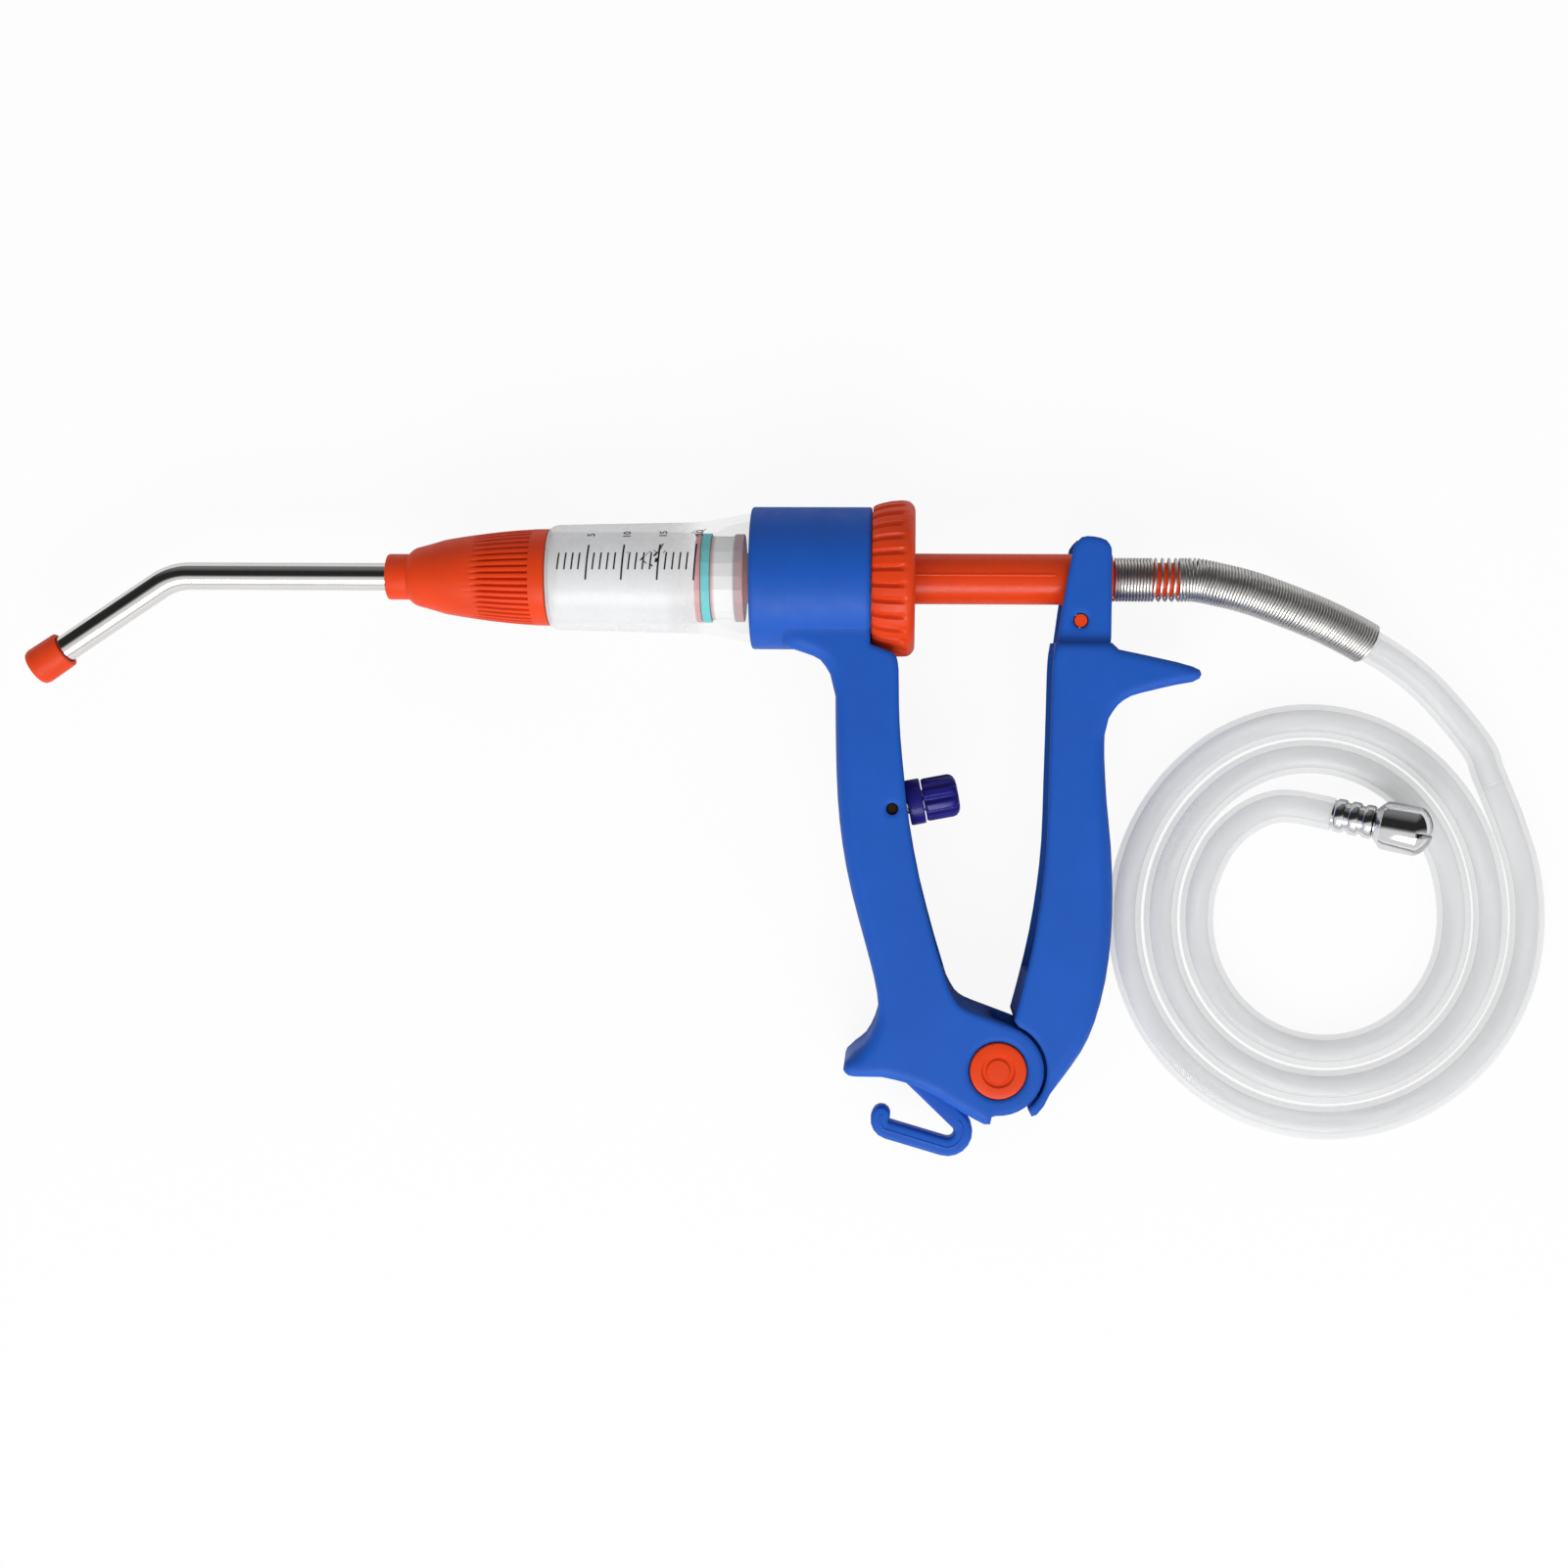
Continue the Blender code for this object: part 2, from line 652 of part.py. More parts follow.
def make_front_handle():
    item = moulded("front_handle", front_handle_outline(), HANDLE_HALF, HANDLE_ROUND,
                   PLASTIC_BLUE, GUN)
    join(item, rod("sleeve_blank", SLEEVE_FRONT_X, SLEEVE_REAR_X, SLEEVE_R, GUN,
                   steps=ROUND_STEPS))
    inner = HANDLE_HALF - HANDLE_WALL
    cut(item, plate("front_channel", front_channel_outline(), -inner, inner, GUN))
    mouth_r = BARREL_FLARE_R + GAP
    seat_r = BARREL_FLANGE_R + GAP
    step_x = BARREL_REAR_X - BARREL_FLANGE_L - FACE_GAP
    bore = [(SLEEVE_REAR_X + 2, 0), (SLEEVE_REAR_X + 2, seat_r), (step_x, seat_r),
            (step_x, mouth_r), (SLEEVE_FRONT_X - 2, mouth_r), (SLEEVE_FRONT_X - 2, 0)]
    cut(item, turned("sleeve_bore", bore, None, GUN))
    seat = CAP_LOW - FACE_GAP
    hole_r = PIVOT_PIN_R + GAP
    cap_r = PIVOT_CAP_R + GAP
    slot = CHEEK_SLOT_HALF
    slot_r = LEVER_LIP_R + 0.5
    pivot_cut = [(30, 0), (30, cap_r), (seat, cap_r), (seat, hole_r), (slot, hole_r),
                 (slot, slot_r), (-slot, slot_r), (-slot, hole_r), (-seat, hole_r),
                 (-seat, cap_r), (-30, cap_r), (-30, 0)]
    cut(item, turned("pivot_bore", pivot_cut, None, GUN, PIVOT, UPRIGHT))
    cut(item, rod("stop_pivot_hole", -30, 30, STOP_PIVOT_R + GAP, GUN, (STOP_X, STOP_Y, 0),
                  UPRIGHT, steps=SMALL_STEPS))
    hook_slot = ribbon(hook_path()[:4], HOOK_WIDTH + 2 * GAP)
    cut(item, plate("hook_slot", hook_slot, -HOOK_HALF - GAP, HOOK_HALF + GAP, GUN))
    leg = return_leg_place()
    cut(item, rod("spring_leg_hole", CHEEK_SLOT_HALF - 1, FIXED_LEG_Z + GAP,
                  RETURN_WIRE_R + GAP, GUN, (leg[0], leg[1] - PIVOT_DROP, 0), UPRIGHT,
                  steps=SMALL_STEPS))
    return item


def make_barrel():
    flare = [(-69.5, BARREL_FLARE_R), (-75.0, 16.9), (-81.0, 15.85), (-85.0, BARREL_BODY_R),
             (-123.0, BARREL_FRONT_R), (BARREL_END_X, BARREL_FRONT_R - 0.7),
             (SHOULDER_X, BARREL_FRONT_R - 0.7)]
    rear_bore_r = BARREL_FLARE_R - BARREL_FLARE_WALL
    flange_x = BARREL_REAR_X - BARREL_FLANGE_L
    wall_x = BARREL_END_X - BARREL_END_WALL
    hole_r = OUTLET_R + 0.6
    profile = ([(BARREL_REAR_X, rear_bore_r), (BARREL_REAR_X, BARREL_FLANGE_R),
                (flange_x, BARREL_FLANGE_R), (flange_x, BARREL_FLARE_R)] + flare
               + [(SHOULDER_X, BARREL_NECK_R), (NECK_END_X, BARREL_NECK_R),
                  (NECK_END_X, BARREL_NECK_BORE_R), (wall_x, BARREL_NECK_BORE_R),
                  (wall_x, hole_r), (BARREL_END_X, hole_r), (BARREL_END_X, BORE_R),
                  (-79.0, BORE_R), (-75.0, 14.6), (-69.0, rear_bore_r)])
    turned("barrel", profile, PLASTIC_FROSTED, GUN)
    ring = [(GASKET_REAR_X, rear_bore_r + 0.1), (GASKET_REAR_X, BARREL_FLANGE_R - 0.15),
            (GASKET_REAR_X - GASKET_L, BARREL_FLANGE_R - 0.15),
            (GASKET_REAR_X - GASKET_L, rear_bore_r + 0.1)]
    turned("barrel_gasket", ring, SEAL_BLACK, GUN, steps=MID_STEPS)


def make_nut():
    rear = NUT_REAR_X
    ribs = [(NUT_FRONT_X, NUT_R - 1.7, 0.6), (NUT_FRONT_X + 4.4, NUT_R - 0.3, 1.0),
            (rear - 3.7, NUT_R, 1.0), (rear - 1.2, NUT_R - 1.0, 0.8), (rear, NUT_R - 2.4, 0.0)]
    item = fluted("retaining_nut", ribs, NUT_RIBS, NUT_RIB_DEPTH, PLASTIC_ORANGE, GUN)
    join(item, rod("nut_spigot", SPIGOT_END_X, NUT_FRONT_X + 1, BARREL_FLANGE_R, GUN,
                   steps=ROUND_STEPS))
    recess = rear - NUT_RECESS
    wall = recess - NUT_REAR_WALL
    bore = [(rear + 2, 0), (rear + 2, NUT_RECESS_R), (recess, NUT_RECESS_R),
            (recess, ROD_R + 2.0), (wall, ROD_R + 2.0), (wall, NUT_SPIGOT_BORE_R),
            (SPIGOT_END_X - 2, NUT_SPIGOT_BORE_R), (SPIGOT_END_X - 2, 0)]
    cut(item, turned("nut_bore", bore, None, GUN))
    inner = ROD_R + GAP
    outer = inner + BUSH_WALL
    bush = [(recess + 0.2, inner), (recess + 0.2, outer), (wall - FACE_GAP, outer),
            (wall - FACE_GAP, outer + 1.8), (wall - 1.2, outer + 1.8), (wall - 1.2, inner)]
    turned("rod_guide_bush", bush, PLASTIC_WHITE, GUN, steps=MID_STEPS)


def make_piston():
    front = PISTON_FRONT_X
    seat_hole = 2.6
    head_r = BORE_R - GAP
    seal_low = head_r - 2.8
    rear = front + 13.2
    socket = rear - 3.4
    chamber_r = ROD_BORE_R + 1.0
    profile = [(rear, ROD_R + GAP), (rear, head_r - 0.1), (rear - 2.6, head_r - 0.1),
               (rear - 2.6, head_r - 0.7), (front + 4.4, head_r - 0.7), (front + 4.4, seal_low),
               (front + 1.5, seal_low), (front + 1.5, head_r), (front, head_r), (front, 6.0),
               (front + 3.8, 6.0), (front + 3.8, seat_hole), (front + 7.3, seat_hole),
               (front + 7.3, chamber_r), (socket, chamber_r), (socket, ROD_R + GAP)]
    turned("piston_head", profile, PLASTIC_WHITE, PISTON, steps=MID_STEPS)
    seal = [(front + 4.1, seal_low + GAP), (front + 4.1, BORE_R - 0.25),
            (front + 1.8, BORE_R - 0.25), (front + 1.8, seal_low + GAP)]
    turned("piston_seal", seal, SEAL_TEAL, PISTON, steps=MID_STEPS)
    valve = [(front + 11.8, 0), (front + 11.8, 2.6), (front + 11.0, 2.6), (front + 11.0, 1.0),
             (front + 3.5, 1.0), (front + 3.5, 4.6), (front + 1.7, 4.6), (front + 1.7, 0)]
    turned("inlet_valve", valve, PLASTIC_WHITE, PISTON, steps=SMALL_STEPS)
    spring = helix(2.0, front + 7.9, front + 10.4, 3, HIDDEN_SPRING_POINTS, 0)
    wire("inlet_valve_spring", spring, 0.25, 1, METAL_STEEL, PISTON)
    rod_front = socket + FACE_GAP
    tube_profile = [(TAIL_END_X, ROD_BORE_R), (TAIL_END_X, TAIL_R), (ROD_END_X, TAIL_R),
                    (ROD_END_X, ROD_R), (rod_front, ROD_R), (rod_front, chamber_r),
                    (rod_front + 4.2, chamber_r), (rod_front + 4.2, ROD_BORE_R)]
    item = turned("piston_rod", tube_profile, PLASTIC_ORANGE, PISTON)
    low_y = -PIN_DROP - YOKE_DROP
    lug = [(PIN_X - YOKE_FRONT, -5.0), (PIN_X - YOKE_FRONT, low_y + 1.0),
           (PIN_X - YOKE_FRONT + 1.0, low_y), (PIN_X + YOKE_REAR - 1.0, low_y),
           (PIN_X + YOKE_REAR, low_y + 1.0), (PIN_X + YOKE_REAR, -5.0)]
    join(item, plate("yoke_lug", lug, -YOKE_HALF, YOKE_HALF, GUN))
    reach = DRIVE_PIN_R + GAP
    top = -PIN_DROP + PIN_RISE
    slot = (arc((PIN_X, top), reach, 0, 180, 9) + arc((PIN_X, -PIN_DROP), reach, 180, 360, 9))
    cut(item, plate("yoke_slot", slot, -20, 20, GUN))


def make_lever():
    item = moulded("rear_lever", lever_grip_outline(), HANDLE_HALF, HANDLE_ROUND, PLASTIC_BLUE,
                   LEVER)
    place(item, LEVER, (0, PIVOT_DROP, 0))
    head = moulded("lever_head", lever_head_outline(), EAR_HALF, 2.0, None, GUN)
    join(item, head)
    inner = HANDLE_HALF - HANDLE_WALL
    cut(item, plate("lever_channel", lever_channel_outline(), -inner, inner, GUN))
    fork = EAR_HALF - EAR_WALL
    cut(item, plate("fork_through", [(10, -12.0), (40, -12.0), (40, 20), (10, 20)], -fork, fork,
                    GUN))
    back_x = 29.5 - HANDLE_WALL
    cut(item, plate("fork_low", [(8, -24.5), (back_x, -24.5), (back_x, -10), (8, -10)], -fork,
                    fork, GUN))
    cut(item, rod("drive_pin_hole", -20, 20, DRIVE_PIN_R + GAP, GUN, (PIN_X, -PIN_DROP, 0),
                  UPRIGHT, steps=SMALL_STEPS))
    join(item, rod("hub", -HUB_HALF, HUB_HALF, HUB_R, GUN, PIVOT, UPRIGHT, steps=ROUND_STEPS))
    tongue = [(0.0, 0.0)] + arc((0, 0), LEVER_LIP_R + 1.1, -35, 52, 9)
    join(item, plate("tongue", tongue, 0.1 - HUB_HALF, HUB_HALF - 0.1, GUN, PIVOT))
    bore = [(20, 0), (20, POCKET_R), (POCKET_Z, POCKET_R), (POCKET_Z, BUSH_R + GAP),
            (-20, BUSH_R + GAP), (-20, 0)]
    pocket = turned("hub_bore", bore, None, GUN, PIVOT, UPRIGHT, MID_STEPS)
    leg_turn = Quaternion((0, 0, 1), math.radians(MOVING_LEG_DEG)) @ ALONG_X
    leg_at = (0, -PIVOT_DROP, SPRING_LOW_Z)
    join(pocket, rod("leg_hole", RETURN_COIL_R + 0.7, MOVING_LEG_R + GAP, RETURN_WIRE_R + GAP,
                     GUN, leg_at, leg_turn, steps=SMALL_STEPS))
    cut(item, pocket)
    at = (PIN_X, PIVOT_DROP - PIN_DROP, 0)
    rod("drive_pin", -EAR_HALF + 0.2, EAR_HALF - 0.2, DRIVE_PIN_R, LEVER, at, UPRIGHT,
        PLASTIC_ORANGE, SMALL_STEPS)
    tube("pivot_bush", -HUB_HALF, HUB_HALF, BUSH_R, PIVOT_PIN_R + GAP, PLASTIC_WHITE, LEVER,
         turn=UPRIGHT, steps=SMALL_STEPS)


def make_pivot():
    half = CAP_LOW + CAP_SOCKET - FACE_GAP
    rod("pivot_pin", -half, half, PIVOT_PIN_R, GUN, PIVOT, UPRIGHT, METAL_STEEL, SMALL_STEPS)
    profile = [(CAP_TOP, 0), (CAP_TOP, 3.4), (CAP_TOP - 0.6, 3.6), (CAP_TOP - 0.6, 4.5),
               (CAP_TOP, 4.7), (CAP_TOP, PIVOT_CAP_R - PIVOT_CAP_BEVEL),
               (CAP_TOP - PIVOT_CAP_BEVEL, PIVOT_CAP_R),
               (CAP_LOW, PIVOT_CAP_R), (CAP_LOW, PIVOT_PIN_R + GAP),
               (CAP_LOW + CAP_SOCKET, PIVOT_PIN_R + GAP), (CAP_LOW + CAP_SOCKET, 0)]
    turned("pivot_cap_near", profile, PLASTIC_ORANGE, GUN, PIVOT, UPRIGHT, MID_STEPS)
    over = Quaternion((1, 0, 0), math.pi)
    turned("pivot_cap_far", profile, PLASTIC_ORANGE, GUN, PIVOT, over, MID_STEPS)
    wire("lever_return_spring", return_spring_path(), RETURN_WIRE_R, 1, METAL_STEEL, GUN, PIVOT)


def helix(radius, low_x, high_x, turns, per_turn, start_deg):
    """Points of a helix round X."""
    count = round(turns * per_turn)
    points = []
    for k in range(count + 1):
        angle = math.radians(start_deg) + 2 * math.pi * k / per_turn
        along = low_x + (high_x - low_x) * k / count
        points.append((along, radius * math.cos(angle), radius * math.sin(angle)))
    return points


def return_spring_path():
    """Radial moving leg, the coil round the hub, and the fixed leg into the cheek."""
    per_turn = 8
    count = round(RETURN_TURNS * per_turn)
    start = math.radians(MOVING_LEG_DEG)
    points = [(MOVING_LEG_R * math.cos(start), MOVING_LEG_R * math.sin(start), SPRING_LOW_Z)]
    for k in range(count + 1):
        angle = start + 2 * math.pi * k / per_turn
        z = SPRING_LOW_Z + RETURN_PITCH * k / per_turn
        points.append((RETURN_COIL_R * math.cos(angle), RETURN_COIL_R * math.sin(angle), z))
    points.append((points[-1][0], points[-1][1], FIXED_LEG_Z))
    return points


def make_nose():
    collar = NOSE_FRONT_X + 6.4
    bore = NOZZLE_R + GAP
    cap_bore = BARREL_NECK_R + GAP
    rear = SHOULDER_X - FACE_GAP
    profile = [(rear, cap_bore), (rear, NOSE_REAR_R), (rear - 4.4, NOSE_REAR_R - 0.2),
               (NOSE_SEAT_X + 3.9, 12.0), (NOSE_SEAT_X + 0.3, 11.4), (collar + 6.7, 9.4),
               (collar + 1.2, 7.9), (collar, NOSE_COLLAR_R), (NOSE_FRONT_X, NOSE_COLLAR_R),
               (NOSE_FRONT_X, bore), (NOSE_SEAT_X, bore), (NOSE_SEAT_X, cap_bore)]
    turned("nose_cap", profile, PLASTIC_ORANGE, GUN)
    seat_rear = BARREL_END_X - BARREL_END_WALL - FACE_GAP
    seat_front = seat_rear - 2.7
    tube("outlet_valve_seat", seat_front, seat_rear, BARREL_NECK_BORE_R - GAP, OUTLET_R,
         PLASTIC_WHITE, GUN)
    disc = seat_front - FACE_GAP
    valve = [(disc, 0), (disc, 4.6), (disc - 1.8, 4.6), (disc - 1.8, 1.2), (disc - 6.5, 1.2),
             (disc - 6.5, 0)]
    turned("outlet_valve", valve, PLASTIC_WHITE, GUN, steps=SMALL_STEPS)
    spring = helix(3.2, NOZZLE_GASKET_X + 0.6, disc - 2.4, 4, HIDDEN_SPRING_POINTS, 0)
    wire("outlet_valve_spring", spring, 0.3, 1, METAL_STEEL, GUN)
    tube("nozzle_gasket", NOZZLE_GASKET_X - GASKET_L, NOZZLE_GASKET_X, FERRULE_R, 3.2,
         SEAL_BLACK, GUN)
    tube("nozzle_ferrule", FERRULE_X - FERRULE_L, FERRULE_X, FERRULE_R, bore, METAL_CHROME,
         NOZZLE)


def leg_direction():
    bend = math.radians(NOZZLE_BEND_DEG)
    return Vector((-math.cos(bend), -math.sin(bend), 0))


def nozzle_path(over):
    """The nozzle's centreline, run past both ends by over."""
    knee = Vector((NOZZLE_KNEE_X, 0, 0))
    leg = leg_direction()
    bend = math.radians(NOZZLE_BEND_DEG)
    back = NOZZLE_BEND_R * math.tan(bend / 2)
    start = Vector((FERRULE_X - 0.3 + over, 0, 0))
    centre = Vector((NOZZLE_KNEE_X + back, -NOZZLE_BEND_R, 0))
    steps = 7
    curve = []
    for k in range(steps + 1):
        angle = math.pi / 2 + bend * k / steps
        curve.append(centre + Vector((math.cos(angle), math.sin(angle), 0)) * NOZZLE_BEND_R)
    return [start] + curve + [knee + leg * (NOZZLE_LEG + over)]


def make_nozzle():
    item = as_mesh(wire("nozzle_tube", nozzle_path(0), NOZZLE_R, 6, METAL_CHROME, NOZZLE))
    item.data.shade_smooth()
    item.data.set_sharp_from_angle(angle=math.radians(40))
    bore = as_mesh(wire("nozzle_bore", nozzle_path(3), NOZZLE_BORE_R, 4, None, GUN))
    cut(item, bore)
    knee = (NOZZLE_KNEE_X, 0, 0)
    low_s = NOZZLE_LEG + TIP_WALL + FACE_GAP - TIP_L
    high_s = low_s + TIP_L
    profile = [(high_s, TIP_HOLE_R), (high_s, TIP_R - 1.6), (high_s - 0.5, TIP_R - 0.6),
               (high_s - 1.6, TIP_R), (low_s + 0.5, TIP_R), (low_s, TIP_R - 0.4),
               (low_s, NOZZLE_R + GAP), (high_s - TIP_WALL, NOZZLE_R + GAP),
               (high_s - TIP_WALL, TIP_HOLE_R)]
    turned("nozzle_tip", profile, PLASTIC_ORANGE, NOZZLE, knee, towards(leg_direction()),
           MID_STEPS)


def make_dose_stop():
    inner = HANDLE_HALF - HANDLE_WALL - GAP
    reach = HANDLE_HALF - 0.9
    bore = STOP_SCREW_R + GAP
    trunnion = [(reach, 0), (reach, STOP_PIVOT_R), (inner, STOP_PIVOT_R), (inner, STOP_NUT_R),
                (-inner, STOP_NUT_R), (-inner, STOP_PIVOT_R), (-reach, STOP_PIVOT_R), (-reach, 0)]
    nut = turned("dose_nut", trunnion, METAL_BRASS, GUN, (STOP_X, STOP_Y, 0), UPRIGHT,
                 SMALL_STEPS)
    cut(nut, rod("stop_screw_hole", -20, 20, bore, STOP, steps=SMALL_STEPS))
    knob_low = COLLAR_FROM + COLLAR_L + FACE_GAP
    knob_high = knob_low + KNOB_L
    screw_end = knob_low + 4.8
    rod("dose_screw", -11.0, screw_end, STOP_SCREW_R, STOP, look=METAL_STEEL,
        steps=SMALL_STEPS)
    tube("lock_collar", COLLAR_FROM, COLLAR_FROM + COLLAR_L, COLLAR_R, bore, PLASTIC_NAVY, STOP)
    flutes = [(knob_low, KNOB_R, 1.0), (knob_high - 1.2, KNOB_R, 1.0),
              (knob_high, KNOB_R - 1.1, 0.4)]
    knob = fluted("dose_knob", flutes, KNOB_FLUTES, KNOB_FLUTE_DEPTH, PLASTIC_NAVY, STOP)
    cut(knob, rod("knob_bore", knob_low - 2, screw_end + FACE_GAP, bore, STOP,
                  steps=SMALL_STEPS))


def make_hook():
    outline = rounded(ribbon(hook_path(), HOOK_WIDTH), 1.0)
    moulded("hanging_hook", outline, HOOK_HALF, 1.1, PLASTIC_BLUE, GUN)


# Hose: points are from the barrel's axis and the pivot, with the height over the table.
def coil_step(angle_deg):
    turn = math.floor(angle_deg / 360)
    part_of = min(max((angle_deg - 360 * turn - 240) / 120, 0.0), 1.0)
    return COIL_STEP * (turn + part_of * part_of * (3 - 2 * part_of))


def coil_point(angle_deg):
    """A point of the flat loops, clockwise from the right."""
    inner = coil_step(angle_deg)
    angle = math.radians(angle_deg)
    return Vector((COIL_CENTRE[0] + (COIL_RX - inner) * math.cos(angle),
                   COIL_CENTRE[1] - (COIL_RY - inner) * math.sin(angle), HOSE_REST))


def bridge(start, heading, finish_at, finish_heading, pull, count):
    """A smooth line between two points with given headings, start left out."""
    line = []
    for k in range(1, count + 1):
        t = k / count
        line.append(start * (2 * t ** 3 - 3 * t * t + 1) + heading * pull * (t ** 3 - 2 * t * t + t)
                    + finish_at * (3 * t * t - 2 * t ** 3) + finish_heading * pull * (t ** 3 - t * t))
    return line


def fitting_frame():
    """Where the hose ends in the suction fitting, and the fitting's heading, up over a loop."""
    heading = math.radians(FITTING_HEADING_DEG)
    tilt = math.radians(FITTING_TILT_DEG)
    along = Vector((math.cos(heading) * math.cos(tilt), math.sin(heading) * math.cos(tilt),
                    math.sin(tilt)))
    height = HOSE_REST + 2 * HOSE_R * along.z
    return Vector((COIL_CENTRE[0] + 1.3, COIL_CENTRE[1] + 29.8, height)), along


def coil_mouth():
    """Where the coil's straight first length begins, and its heading."""
    first = coil_point(COIL_START_DEG)
    heading = (coil_point(COIL_START_DEG + 4) - coil_point(COIL_START_DEG)).normalized()
    return first - heading * (2 * HOSE_R), heading


def coil_path():
    step = 360 / LOOP_POINTS
    count = round((COIL_END_DEG - COIL_START_DEG) / step)
    points = [coil_point(COIL_START_DEG + step * k) for k in range(count + 1)]
    end, along = fitting_frame()
    straight = end - along * (2 * HOSE_R)
    heading = (coil_point(COIL_END_DEG + 1) - coil_point(COIL_END_DEG - 1)).normalized()
    level = Vector((along.x, along.y, 0))
    curve = bridge(points[-1], heading, straight, level, 30.0, 5)
    return [coil_mouth()[0]] + points + curve + [end]


def lead_path():
    """The free hose from the rod's tail to the coil."""
    tail = Vector((TAIL_END_X + FACE_GAP, 0, NUT_R))
    mouth, heading = coil_mouth()
    route = [tail, tail + Vector((4.5, 0, 0)), Vector((59, -1.1, 21.3)),
             Vector((68, -3.2, 20.3)), Vector((80, -7.2, 18.0)), Vector((91, -11.4, 15.0)),
             Vector((102.1, -16.8, 12.0)), Vector((113, -23.2, 8.8)),
             Vector((122.5, -31.0, 6.2)), mouth - heading * 12.0, mouth - heading * 4.0,
             mouth - heading * FACE_GAP]
    return route


def spring_path():
    """The strain relief: close curls over the rod's tail and the first of the hose."""
    route = smooth([Vector((30.9, 0, NUT_R)), Vector((40, 0, NUT_R))] + lead_path()[:8], 6)
    total = lengths(route)
    end = lengths_to(route, total, SPRING_END_X)
    weights = [STRETCHED_RATIO if STRETCHED_FROM <= k < STRETCHED_FROM + STRETCHED_CURLS else 1.0
               for k in range(SPRING_CURLS)]
    pitch = end / sum(weights)
    points = []
    done = 0.0
    for weight in weights:
        for k in range(SPRING_POINTS):
            spot, along = at_length(route, total, done + pitch * weight * k / SPRING_POINTS)
            side = along.cross(Vector((0, 0, 1))).normalized()
            up = side.cross(along)
            angle = 2 * math.pi * k / SPRING_POINTS
            points.append(spot + (side * math.cos(angle) + up * math.sin(angle)) * SPRING_COIL_R)
        done += pitch * weight
    return points, pitch


def lengths_to(route, total, x):
    """The length along route at which it passes x."""
    for i in range(len(route) - 1):
        if route[i].x <= x <= route[i + 1].x:
            share = (x - route[i].x) / (route[i + 1].x - route[i].x)
            return total[i] + (total[i + 1] - total[i]) * share
    return total[-1]


def least_gap(path, radius, apart):
    """The least gap between stretches of a wound tube, measured on points along it."""
    total = lengths(path)
    count = int(total[-1] / 0.8)
    spots = [at_length(path, total, total[-1] * k / count)[0] for k in range(count + 1)]
    skip = int(apart / 0.8)
    least = 1000.0
    for i in range(len(spots)):
        for j in range(i + skip, len(spots)):
            least = min(least, (spots[i] - spots[j]).length)
    return least - 2 * radius


def make_hose():
    lead = lead_path()
    coil = coil_path()
    bent = [lead[0]] + smooth(lead[1:-1], 3) + [lead[-1]]
    wire("hose_lead", bent, HOSE_R, 2, HOSE_CLEAR, TABLE)
    wire("hose_coil", coil, HOSE_R, 1, HOSE_CLEAR, TABLE)
    curls, pitch = spring_path()
    wire("strain_relief_spring", curls, SPRING_WIRE_R, 1, METAL_STEEL, TABLE)
    print("least gap between the loops of the coil, mm:",
          round(least_gap(coil, HOSE_R, 60), 2))
    print("least gap between the curls of the strain relief, mm:",
          round(pitch - 2 * SPRING_WIRE_R, 2))
    hose = lengths(lead)[-1] + lengths(coil)[-1]
    print("hose length, mm:", round(hose))


def make_fitting():
    end, along = fitting_frame()
    turn = towards(along)
    place_tail = end + along * FACE_GAP
    pitch = BARB_L / RING_COUNT
    profile = []
    for ring in reversed(range(RING_COUNT)):
        low_s = pitch * ring
        profile += [(low_s + pitch - 0.5, RING_R - 0.7), (low_s + pitch - 0.8, RING_R),
                    (low_s + 0.8, RING_R), (low_s + 0.5, RING_R - 0.7)]
    top = BARB_L - 0.5
    profile = [(top, 2.6)] + profile + [(0.0, RING_R - 0.7), (0.0, 2.6)]
    turned("suction_hose_tail", profile, METAL_CHROME, TABLE, place_tail, turn, SMALL_STEPS)
    low_s = BARB_L - 0.5 + FACE_GAP
    high_s = low_s + STRAINER_L
    shell = [(high_s, 0), (high_s - 0.4, 2.6), (high_s - 1.6, 4.4), (high_s - 3.4, STRAINER_R),
             (low_s + 1.4, STRAINER_R), (low_s, RING_R - 0.6), (low_s, 2.8),
             (high_s - 2.4, 2.8), (high_s - 2.4, 0)]
    item = turned("suction_strainer", shell, METAL_CHROME, TABLE, place_tail, turn, steps=8)
    slot = [(-0.6, -12.0), (0.6, -12.0), (0.6, 12.0), (-0.6, 12.0)]
    middle = place_tail + along * (high_s - 2.0)
    cut(item, plate("strainer_slot", slot, -2.2, 20, TABLE, middle, turn))


def rest_on_table():
    """Moves the whole so that its zero is under the middle of the gun's box."""
    bpy.context.view_layer.update()
    graph = bpy.context.evaluated_depsgraph_get()
    loose = {"hose_lead", "hose_coil", "strain_relief_spring", "suction_hose_tail",
             "suction_strainer"}
    lows = Vector((1e9, 1e9, 1e9))
    highs = -lows
    for item in PARTS.objects:
        if item.name in loose:
            continue
        seen = item.evaluated_get(graph)
        mesh = seen.to_mesh()
        for vertex in mesh.vertices:
            spot = item.matrix_world @ vertex.co
            for axis in range(3):
                lows[axis] = min(lows[axis], spot[axis])
                highs[axis] = max(highs[axis], spot[axis])
        seen.to_mesh_clear()
    TABLE.location = Vector((-(lows.x + highs.x) / 2, -(lows.y + highs.y) / 2, -lows.z))
    bpy.context.view_layer.update()
    print("pivot in metres:", [round(v, 6) for v in LEVER.matrix_world.translation])
    print("barrel axis in metres:", [round(v, 6) for v in GUN.matrix_world.translation])
    print("roll in degrees:", round(math.degrees(ROLL), 3))


make_front_handle()
make_barrel()
make_nut()
make_piston()
make_lever()
make_pivot()
make_nose()
make_nozzle()
make_dose_stop()
make_hook()
make_hose()
make_fitting()
rest_on_table()
